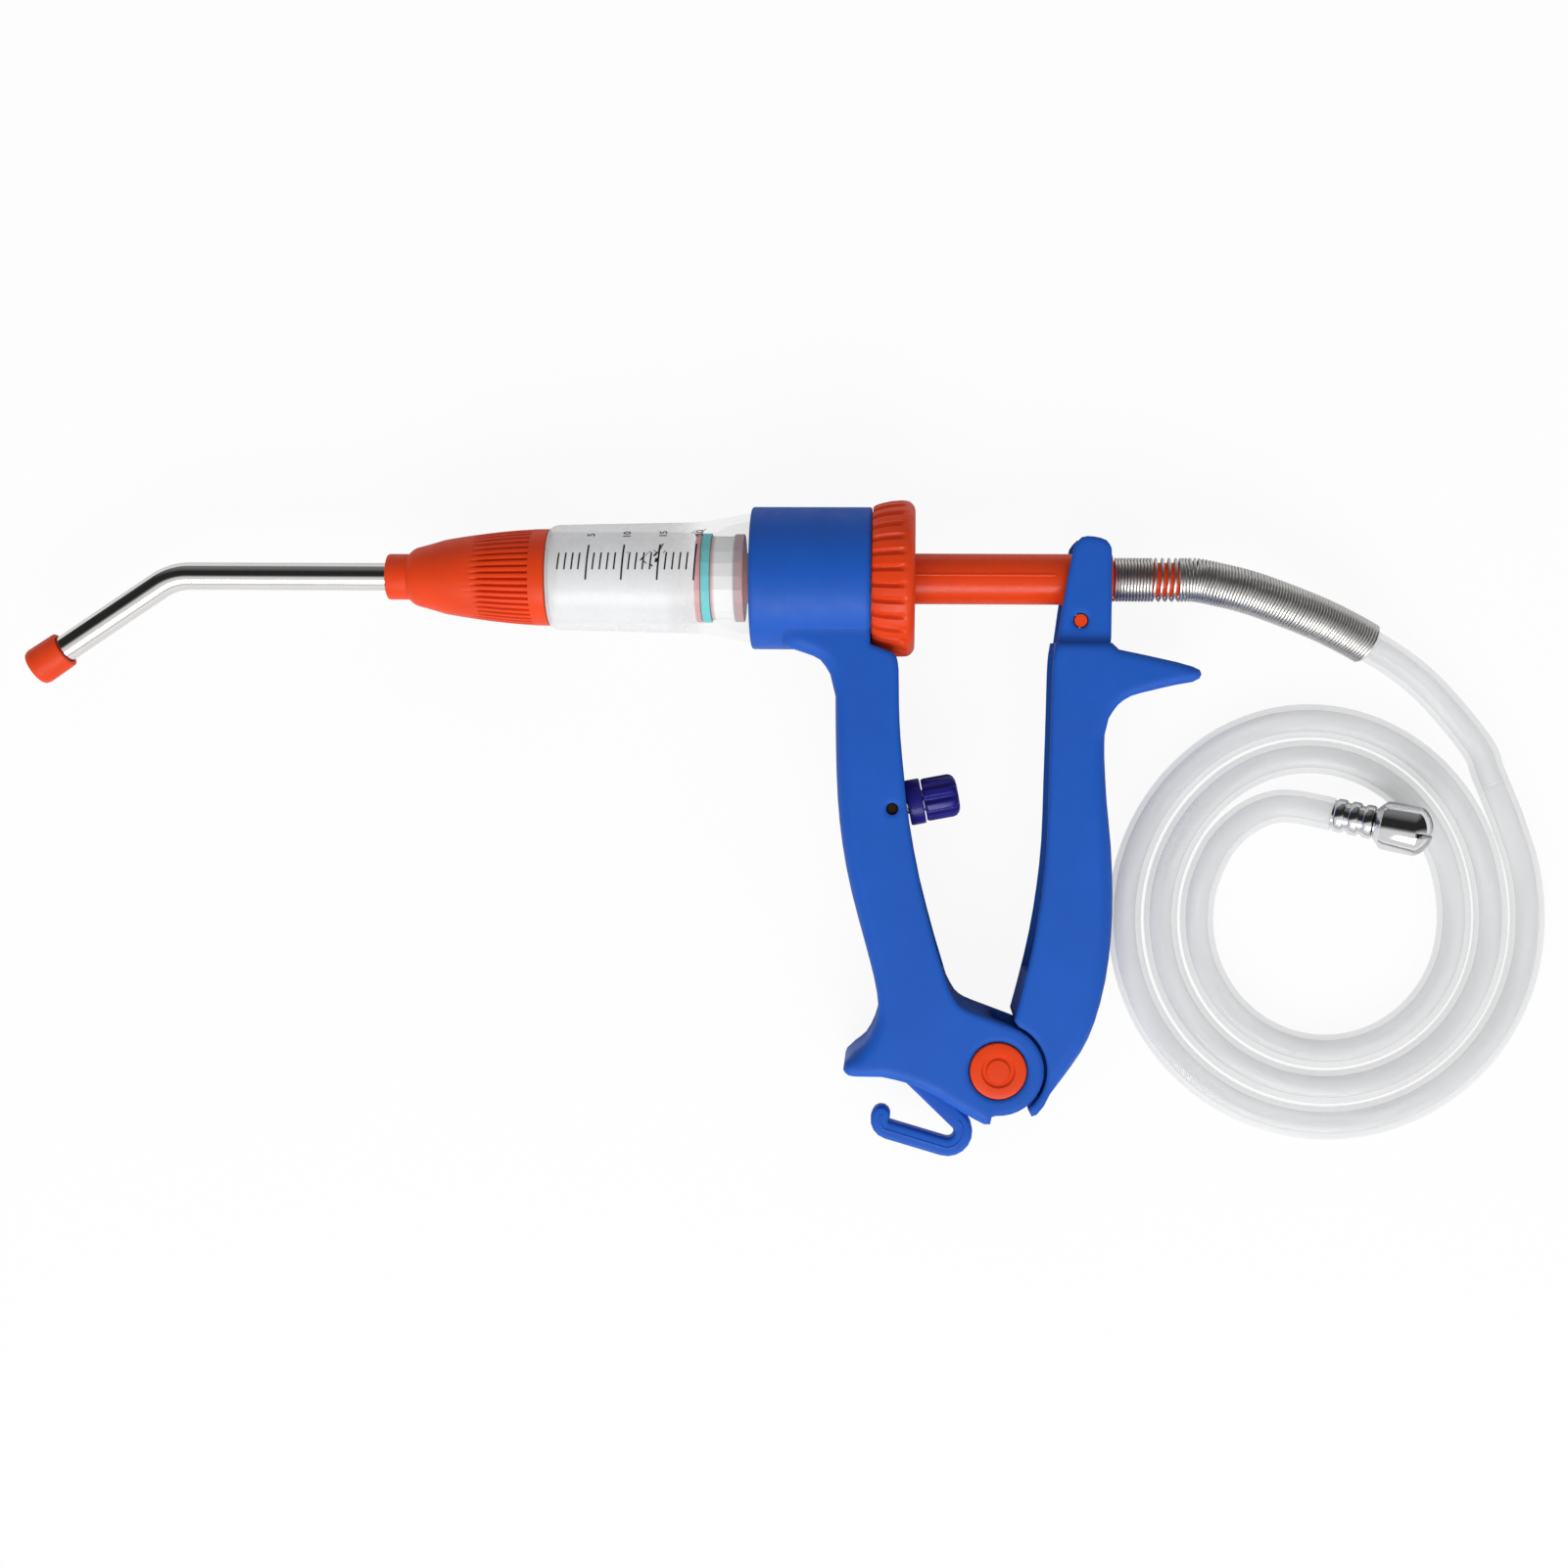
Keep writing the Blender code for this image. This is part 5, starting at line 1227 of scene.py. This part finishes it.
class DRENCH_OT_pivot_and_hook(Operator):
    """Make the two pivot caps and the hanging hook"""
    bl_idname = "drench.pivot_and_hook"
    bl_label = "Pivot caps and hook"

    def execute(self, context):
        chosen = settings().plastic
        cap = moulded_plastic("cap_orange", chosen.fitting_orange, 0.32, 0.44, 1200.0, 0.10)
        near = at_spot(pivot_cap_mesh(), 0, -PIVOT_DROP)
        set_down("pivot_cap_near_look", near, GUN, "gun_frame", cap, ["pivot_cap_near"])
        over = Matrix.Rotation(math.pi, 4, "X")
        far = at_spot(pivot_cap_mesh(), 0, -PIVOT_DROP, 0, over)
        set_down("pivot_cap_far_look", far, GUN, "gun_frame", cap, ["pivot_cap_far"])
        matt = moulded_plastic("hook_blue", chosen.handle_blue, 0.40, 0.5, 1600.0, 0.18, 0.05)
        set_down("hanging_hook_look", hook_mesh(), GUN, "gun_frame", matt, ["hanging_hook"])
        return {"FINISHED"}


# Dose stop

def stop_place():
    return Matrix.Translation((STOP_X, STOP_Y, 0)) @ Matrix.Rotation(STOP_TILT, 4, "Z")


def knob_mesh():
    low_s = COLLAR_FROM + COLLAR_L + FACE_GAP
    high_s, socket_s = low_s + KNOB_L, low_s + 5.1
    hole_r = STOP_SCREW_R + GAP
    shown = [(high_s, 0), (high_s, 2.5), (high_s - 0.15, 4.0, 0.0), (high_s - 0.6, 5.0, 0.5),
             (high_s - 1.3, 5.7, 0.9), (high_s - 2.2, KNOB_R, 1.0), (low_s + 1.0, KNOB_R, 1.0),
             (low_s + 0.35, 5.9, 0.9), (low_s, 5.6, 0.5), (low_s, hole_r), (socket_s, hole_r),
             (socket_s, 0)]
    return along_x(turned("knob", shown, KNOB_FLUTES * 16, (KNOB_FLUTES, 1.15, 0.55), 35))


def collar_mesh():
    low_s, high_s, hole_r = COLLAR_FROM, COLLAR_FROM + COLLAR_L, STOP_SCREW_R + GAP
    shown = [(high_s, hole_r), (high_s, COLLAR_R), (low_s, COLLAR_R), (low_s, hole_r)]
    return along_x(turned("collar", softened(shown, radius=0.6), 72))


class DRENCH_OT_dose_stop(Operator):
    """Make the fluted dose knob and its collar"""
    bl_idname = "drench.dose_stop"
    bl_label = "Dose stop"

    def execute(self, context):
        navy = moulded_plastic("knob_navy", settings().plastic.knob_navy, 0.18, 0.30, 900.0, 0.08)
        place = GUN @ TO_METRES @ stop_place() @ TO_METRES.inverted()
        set_down("dose_knob_look", knob_mesh(), place, "dose_screw_body", navy, ["dose_knob"])
        set_down("lock_collar_look", collar_mesh(), place, "collar", navy, ["lock_collar"])
        return {"FINISHED"}


# Hose, its strain relief and the suction fitting

def run_of(route):
    """A smooth line along the route, with its first and last lengths straight."""
    return [route[0]] + smooth(route[1:-1]) + [route[-1]]


def spring_line(curls):
    """Close curls, a few pulled apart, then close curls again."""
    on_tail = [Vector((SPRING_FROM_X, 0, NUT_R)), Vector((40, 0, NUT_R))]
    route = smooth(on_tail + lead_path()[:8], 6)
    total = lengths(route)
    end = length_to(route, total, SPRING_END[0])
    loose = round(curls * LOOSE_FROM_SHARE)
    weights = [LOOSE_STRETCH if loose <= k < loose + LOOSE_CURLS else 1.0 for k in range(curls)]
    pitch = end / sum(weights)
    points = []
    done = 0.0
    per_curl = 14
    for weight in weights:
        for k in range(per_curl):
            spot, along = at_length(route, total, done + pitch * weight * k / per_curl)
            side = along.cross(Vector((0, 0, 1))).normalized()
            up = side.cross(along)
            angle = 2 * math.pi * k / per_curl
            points.append(spot + (side * math.cos(angle) + up * math.sin(angle)) * SPRING_COIL_R)
        done += pitch * weight
    return points


def fitting_turn():
    end, along = fitting_frame()
    turn = Vector((0, 0, 1)).rotation_difference(along).to_matrix().to_4x4()
    return Matrix.Translation(end + along * FACE_GAP) @ turn


def tail_mesh():
    """Three rounded rings that hold the hose on the strainer."""
    profile = [(RINGS_END, 2.6)]
    for ring in reversed(range(RING_COUNT)):
        low_s = RING_STEP * ring
        profile += [(low_s + 3.5, 4.05), (low_s + 3.3, 4.45), (low_s + 2.9, 4.72),
                    (low_s + 2.0, 4.75), (low_s + 1.1, 4.72), (low_s + 0.7, 4.45),
                    (low_s + 0.5, 4.05)]
    profile += [(0.0, 4.05), (0.0, 2.6)]
    return moved(turned("tail", profile, 72, None, 40), fitting_turn())


def strainer_mesh():
    """The strainer with its domed end, slotted twice."""
    low_s = STRAINER_FROM
    high_s = low_s + STRAINER_L
    profile = [(high_s, 0), (high_s, 1.4), (high_s - 0.35, 3.0), (high_s - 1.2, 4.6),
               (high_s - 2.4, 6.0), (high_s - 3.6, 6.75), (high_s - 4.2, 6.85),
               (low_s + 3.4, 6.85), (low_s + 2.2, 6.6), (low_s + 0.8, 5.2), (low_s, 4.3),
               (low_s, 2.8), (high_s - 2.4, 2.8), (high_s - 2.4, 0)]
    shell = turned("strainer", profile, 72, None, 24)
    slots = []
    for turn in (0.0, math.pi / 2):
        outline = [(-0.65, -12.0), (0.65, -12.0), (0.65, 12.0), (-0.65, 12.0)]
        cutter = slab("slot", outline, high_s - 3.6, high_s + 5)
        slots.append(moved(cutter, Matrix.Rotation(turn, 4, "Z")))
    return moved(carved(shell, cut(*slots)), fitting_turn())


class DRENCH_OT_hose(Operator):
    """Make the feed hose with its coil, its strain relief spring and the suction fitting"""
    bl_idname = "drench.hose"
    bl_label = "Hose, spring and fitting"

    def execute(self, context):
        chosen = settings().hose
        clear = Finish("hose_clear")
        clear.streaked(chosen.tint, 0.16).uneven_gloss(120.0, 0.06, 0.14)
        clear.put("Alpha", 0.26).put("IOR", 1.4)
        steel = polished_metal("spring_steel", (0.72, 0.71, 0.69), 0.30, 0.34, 0.0)
        chrome = polished_metal("fitting_chrome", (0.80, 0.80, 0.81), 0.05, 0.11, 0.06)

        tail = set_down("suction_hose_tail_look", tail_mesh(), TABLE, "gun_frame", chrome,
                        ["suction_hose_tail"])
        strainer = set_down("suction_strainer_look", strainer_mesh(), TABLE, "gun_frame", chrome,
                            ["suction_strainer"])
        lead, coil = run_of(lead_path()), run_of(coil_path())
        coil_piece = set_down("hose_coil_look", swept("coil", coil, HOSE_R, 28, HOSE_BORE_R),
                              TABLE, "gun_frame", clear.look, ["hose_coil"])
        lead_piece = set_down("hose_lead_look", swept("lead", lead, HOSE_R, 28, HOSE_BORE_R),
                              TABLE, None, clear.look, ["hose_lead"])
        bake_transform(lead_piece)
        curls = swept("spring", spring_line(chosen.curls), SPRING_WIRE_R, 8)
        spring = set_down("strain_relief_spring_look", curls, TABLE, "piston", steel,
                          ["strain_relief_spring"])
        return {"FINISHED"}


# Pieces that keep the frame's own shape

# Just past the piston head's two ends, in the frame's metres
HEAD_FRONT, HEAD_REAR = 0.0260, 0.0400


def piston_white():
    """White plastic, rose at its lip, in a narrow band behind it and at its rear flange, with a
    dark grey band just in front of the flange.
    """
    finish = Finish("piston_white")
    spread = share_along(finish.tree, finish.place, "X", HEAD_FRONT, HEAD_REAR)
    white, rose, grey = (0.80, 0.80, 0.79), (0.62, 0.20, 0.22), (0.30, 0.24, 0.26)
    bands = finish.ramp(spread.outputs["Result"],
                        [(0.0, rose), (0.14, rose), (0.17, white), (0.32, white), (0.35, rose),
                         (0.42, white), (0.76, white), (0.80, grey), (1.0, rose)])
    finish.links.new(bands, finish.shader.inputs["Base Color"])
    return finish.uneven_gloss(400.0, 0.35, 0.5).grain(900.0, 0.08).look


def valve_spring(node, turns, finish):
    """A closing spring, drawn as a fixed helix that fills its part's box from its low end to the
    valve's end.
    """
    low, high = (Vector(corner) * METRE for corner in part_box(node))
    centre = (low + high) / 2
    wire_r = 0.22
    coil_r = (high.y - low.y) / 2 - wire_r
    path = []
    per_turn = 16
    steps = turns * per_turn
    for k in range(steps + 1):
        angle = 2 * math.pi * k / per_turn
        x = low.x + wire_r + (high.x - low.x - 2 * wire_r) * k / steps
        path.append((x, centre.y + coil_r * math.cos(angle), centre.z + coil_r * math.sin(angle)))
    piece = set_down(node + "_look", swept(node, path, wire_r, 8), Matrix(), None, finish,
                     [node])
    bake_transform(piece)


class DRENCH_OT_inner_pieces(Operator):
    """Give the seals, valves, pins and springs inside their finishes"""
    bl_idname = "drench.inner_pieces"
    bl_label = "Inner pieces"

    def execute(self, context):
        orange = settings().plastic.fitting_orange
        white = moulded_plastic("valve_white", (0.80, 0.80, 0.78), 0.35, 0.5, 900.0, 0.08)
        teal = moulded_plastic("seal_teal", (0.03, 0.52, 0.54), 0.45, 0.6, 700.0, 0.10)
        rubber = moulded_plastic("gasket_rubber", (0.45, 0.05, 0.04), 0.6, 0.75, 1500.0, 0.25)
        steel = polished_metal("pin_steel", (0.60, 0.59, 0.57), 0.16, 0.28, 0.10)
        dark = polished_metal("trunnion_bronze", (0.045, 0.022, 0.014), 0.4, 0.55, 0.15)
        chrome = polished_metal("ferrule_chrome", (0.8, 0.8, 0.8), 0.05, 0.12, 0.05)
        pin = moulded_plastic("pin_orange", orange, 0.3, 0.42, 1200.0, 0.10)
        for node, finish in (("piston_head", piston_white()), ("piston_seal", teal),
                             ("barrel_gasket", rubber), ("rod_guide_bush", white),
                             ("inlet_valve", white), ("outlet_valve", white),
                             ("outlet_valve_seat", white), ("nozzle_gasket", rubber),
                             ("nozzle_ferrule", chrome), ("lever_return_spring", steel),
                             ("pivot_pin", steel), ("pivot_bush", white), ("drive_pin", pin),
                             ("dose_nut", dark), ("dose_screw", steel)):
            refinish(node, finish)
        valve_spring("inlet_valve_spring", 3, steel)
        valve_spring("outlet_valve_spring", 4, steel)
        return {"FINISHED"}


# Stage

CAMERA_PLACE = Vector((0.083532, 0.012494, 0.647))
CAMERA_TILT = math.atan(120 / 2300)
CAMERA_ROLL = math.radians(0.50)
CAMERA_LENS = 51.72
KEY_PLACE = (0.05, -1.1, 0.95)
KEY_AIMED_AT = (0.1, 0.0, 0.0)
KEY_SIZE = (1.3, 0.7)
FLOOR_HALF = 4.0
FLOOR_DROP = 0.0003
# How much of the floor is seen as plain white; the rest keeps the piece's shadow
FLOOR_WHITE = 0.92


def camera_matrix():
    s, c = math.sin(CAMERA_TILT), math.cos(CAMERA_TILT)
    right, up, back = Vector((c, 0, -s)), Vector((0, 1, 0)), Vector((s, 0, c))
    across = right * math.cos(CAMERA_ROLL) + up * math.sin(CAMERA_ROLL)
    above = up * math.cos(CAMERA_ROLL) - right * math.sin(CAMERA_ROLL)
    turn = Matrix((across, above, back)).transposed()
    return Matrix.Translation(CAMERA_PLACE) @ turn.to_4x4()


def key_softbox(power):
    lamp = bpy.data.lights.new("key_softbox", "AREA")
    lamp.shape = "RECTANGLE"
    lamp.size, lamp.size_y = KEY_SIZE
    lamp.energy = power
    item = in_scene("key_softbox", lamp)
    item.location = KEY_PLACE
    item.rotation_mode = "QUATERNION"
    item.rotation_quaternion = (Vector(KEY_AIMED_AT) - Vector(KEY_PLACE)).to_track_quat("-Z", "Y")


def white_floor():
    """A matt white that shows itself white to the camera and keeps shadows."""
    finish = Finish("studio_floor")
    finish.mottled((0.82, 0.82, 0.82), 2.0, 0.01).uneven_gloss(30.0, 0.85, 0.95)
    light = finish.nodes.new("ShaderNodeLightPath")
    add = finish.nodes.new("ShaderNodeMath")
    add.operation = "ADD"
    add.use_clamp = True
    finish.links.new(light.outputs["Is Camera Ray"], add.inputs[0])
    finish.links.new(light.outputs["Is Transmission Ray"], add.inputs[1])
    share = finish.nodes.new("ShaderNodeMath")
    share.operation = "MULTIPLY"
    share.inputs[1].default_value = FLOOR_WHITE
    finish.links.new(add.outputs[0], share.inputs[0])
    glow = finish.nodes.new("ShaderNodeEmission")
    glow.inputs["Strength"].default_value = 1.0
    mix = finish.nodes.new("ShaderNodeMixShader")
    finish.links.new(share.outputs[0], mix.inputs["Fac"])
    finish.links.new(finish.shader.outputs[0], mix.inputs[1])
    finish.links.new(glow.outputs[0], mix.inputs[2])
    out = finish.nodes["Material Output"]
    finish.links.new(mix.outputs[0], out.inputs["Surface"])
    return finish.look


# Light levels from the key side (0) to the far side (1)
SKY_SOFT = ((0.0, 1.0), (0.40, 1.0), (0.50, 0.58), (0.62, 0.60), (1.0, 1.0))
SKY_MIRRORED = ((0.0, 1.0), (0.38, 1.0), (0.46, 0.30), (0.52, 0.03), (0.80, 0.03), (1.0, 0.30))


def sky_from(tree, place, stops, strength):
    """A surrounding light whose level changes from the key side (-Y) to the far side."""
    ramp = tree.nodes.new("ShaderNodeValToRGB")
    first, last = ramp.color_ramp.elements
    for element, (where, value) in ((first, stops[0]), (last, stops[-1])):
        element.position = where
        element.color = (value, value, value, 1.0)
    for where, value in stops[1:-1]:
        ramp.color_ramp.elements.new(where).color = (value, value, value, 1.0)
    tree.links.new(place, ramp.inputs["Fac"])
    sky = tree.nodes.new("ShaderNodeBackground")
    sky.inputs["Strength"].default_value = strength
    tree.links.new(ramp.outputs["Color"], sky.inputs["Color"])
    return sky.outputs[0]


def studio_world(strength):
    """Bright towards the key light, dark in reflections overhead, white behind the piece."""
    world = bpy.data.worlds.new("studio")
    world.use_nodes = True
    tree = world.node_tree
    nodes, links = tree.nodes, tree.links
    heading = nodes.new("ShaderNodeTexCoord").outputs["Generated"]
    place = share_along(tree, heading, "Y", -1.0, 1.0).outputs["Result"]
    soft = sky_from(tree, place, SKY_SOFT, strength)
    mirrored = sky_from(tree, place, SKY_MIRRORED, strength)
    seen = nodes["Background"]
    seen.inputs["Strength"].default_value = 1.0
    seen.inputs["Color"].default_value = (1, 1, 1, 1)
    light = nodes.new("ShaderNodeLightPath")
    glossy = nodes.new("ShaderNodeMixShader")
    links.new(light.outputs["Is Glossy Ray"], glossy.inputs["Fac"])
    links.new(soft, glossy.inputs[1])
    links.new(mirrored, glossy.inputs[2])
    mix = nodes.new("ShaderNodeMixShader")
    links.new(light.outputs["Is Camera Ray"], mix.inputs["Fac"])
    links.new(glossy.outputs[0], mix.inputs[1])
    links.new(seen.outputs[0], mix.inputs[2])
    links.new(mix.outputs[0], nodes["World Output"].inputs["Surface"])
    bpy.context.scene.world = world


def floor_mesh():
    shell = bmesh.new()
    side = FLOOR_HALF
    corners = ((-side, -side, 0), (side, -side, 0), (side, side, 0), (-side, side, 0))
    shell.faces.new([shell.verts.new(corner) for corner in corners])
    mesh = plain_mesh(shell, "floor")
    mesh.materials.append(white_floor())
    return mesh


def photo_camera():
    lens = bpy.data.cameras.new("photo_camera")
    lens.sensor_width = 36.0
    lens.lens = CAMERA_LENS
    lens.clip_start = 0.02
    lens.clip_end = 20.0
    camera = in_scene("photo_camera", lens)
    camera.matrix_world = camera_matrix()
    return camera


class DRENCH_OT_stage(Operator):
    """Set up the floor, the softbox, the surrounding light and the camera"""
    bl_idname = "drench.stage"
    bl_label = "Stage and camera"

    def execute(self, context):
        chosen = settings().stage
        floor = in_scene("floor", floor_mesh())
        floor.location.z = -FLOOR_DROP
        key_softbox(chosen.key_power)
        studio_world(chosen.sky)
        bpy.context.scene.camera = photo_camera()
        bpy.context.scene.view_settings.view_transform = "Standard"
        return {"FINISHED"}


class DrenchGunSettings(PropertyGroup):
    barrel: PointerProperty(type=BarrelSettings)
    plastic: PointerProperty(type=PlasticSettings)
    hose: PointerProperty(type=HoseSettings)
    stage: PointerProperty(type=StageSettings)


STEPS = (DRENCH_OT_stage, DRENCH_OT_hose, DRENCH_OT_barrel, DRENCH_OT_nose,
         DRENCH_OT_nut_and_rod, DRENCH_OT_handles, DRENCH_OT_pivot_and_hook,
         DRENCH_OT_dose_stop, DRENCH_OT_inner_pieces)


class DRENCH_PT_panel(Panel):
    """Lists the pieces of the drench gun and their settings"""
    bl_idname = "DRENCH_PT_panel"
    bl_label = "Drench gun"
    bl_space_type = "VIEW_3D"
    bl_region_type = "UI"
    bl_category = "Drench gun"

    def draw(self, context):
        chosen = context.scene.drench_gun
        for group, names in ((chosen.barrel, ("wall_colour", "clearness", "mark_width", "marks")),
                             (chosen.plastic, ("handle_blue", "fitting_orange", "knob_navy")),
                             (chosen.hose, ("tint", "curls")),
                             (chosen.stage, ("key_power", "sky"))):
            box = self.layout.box()
            for name in names:
                box.prop(group, name)
        for step in STEPS:
            self.layout.operator(step.bl_idname)


CLASSES = (BarrelSettings, PlasticSettings, HoseSettings, StageSettings,
           DrenchGunSettings) + STEPS + (DRENCH_PT_panel,)


def register():
    for item in CLASSES:
        bpy.utils.register_class(item)
    bpy.types.Scene.drench_gun = PointerProperty(type=DrenchGunSettings)


def unregister():
    del bpy.types.Scene.drench_gun
    for item in reversed(CLASSES):
        bpy.utils.unregister_class(item)


def main():
    register()
    bpy.ops.drench.stage()
    bpy.ops.drench.hose()
    bpy.ops.drench.barrel()
    bpy.ops.drench.nose()
    bpy.ops.drench.nut_and_rod()
    bpy.ops.drench.handles()
    bpy.ops.drench.pivot_and_hook()
    bpy.ops.drench.dose_stop()
    bpy.ops.drench.inner_pieces()


if __name__ == "__main__":
    main()
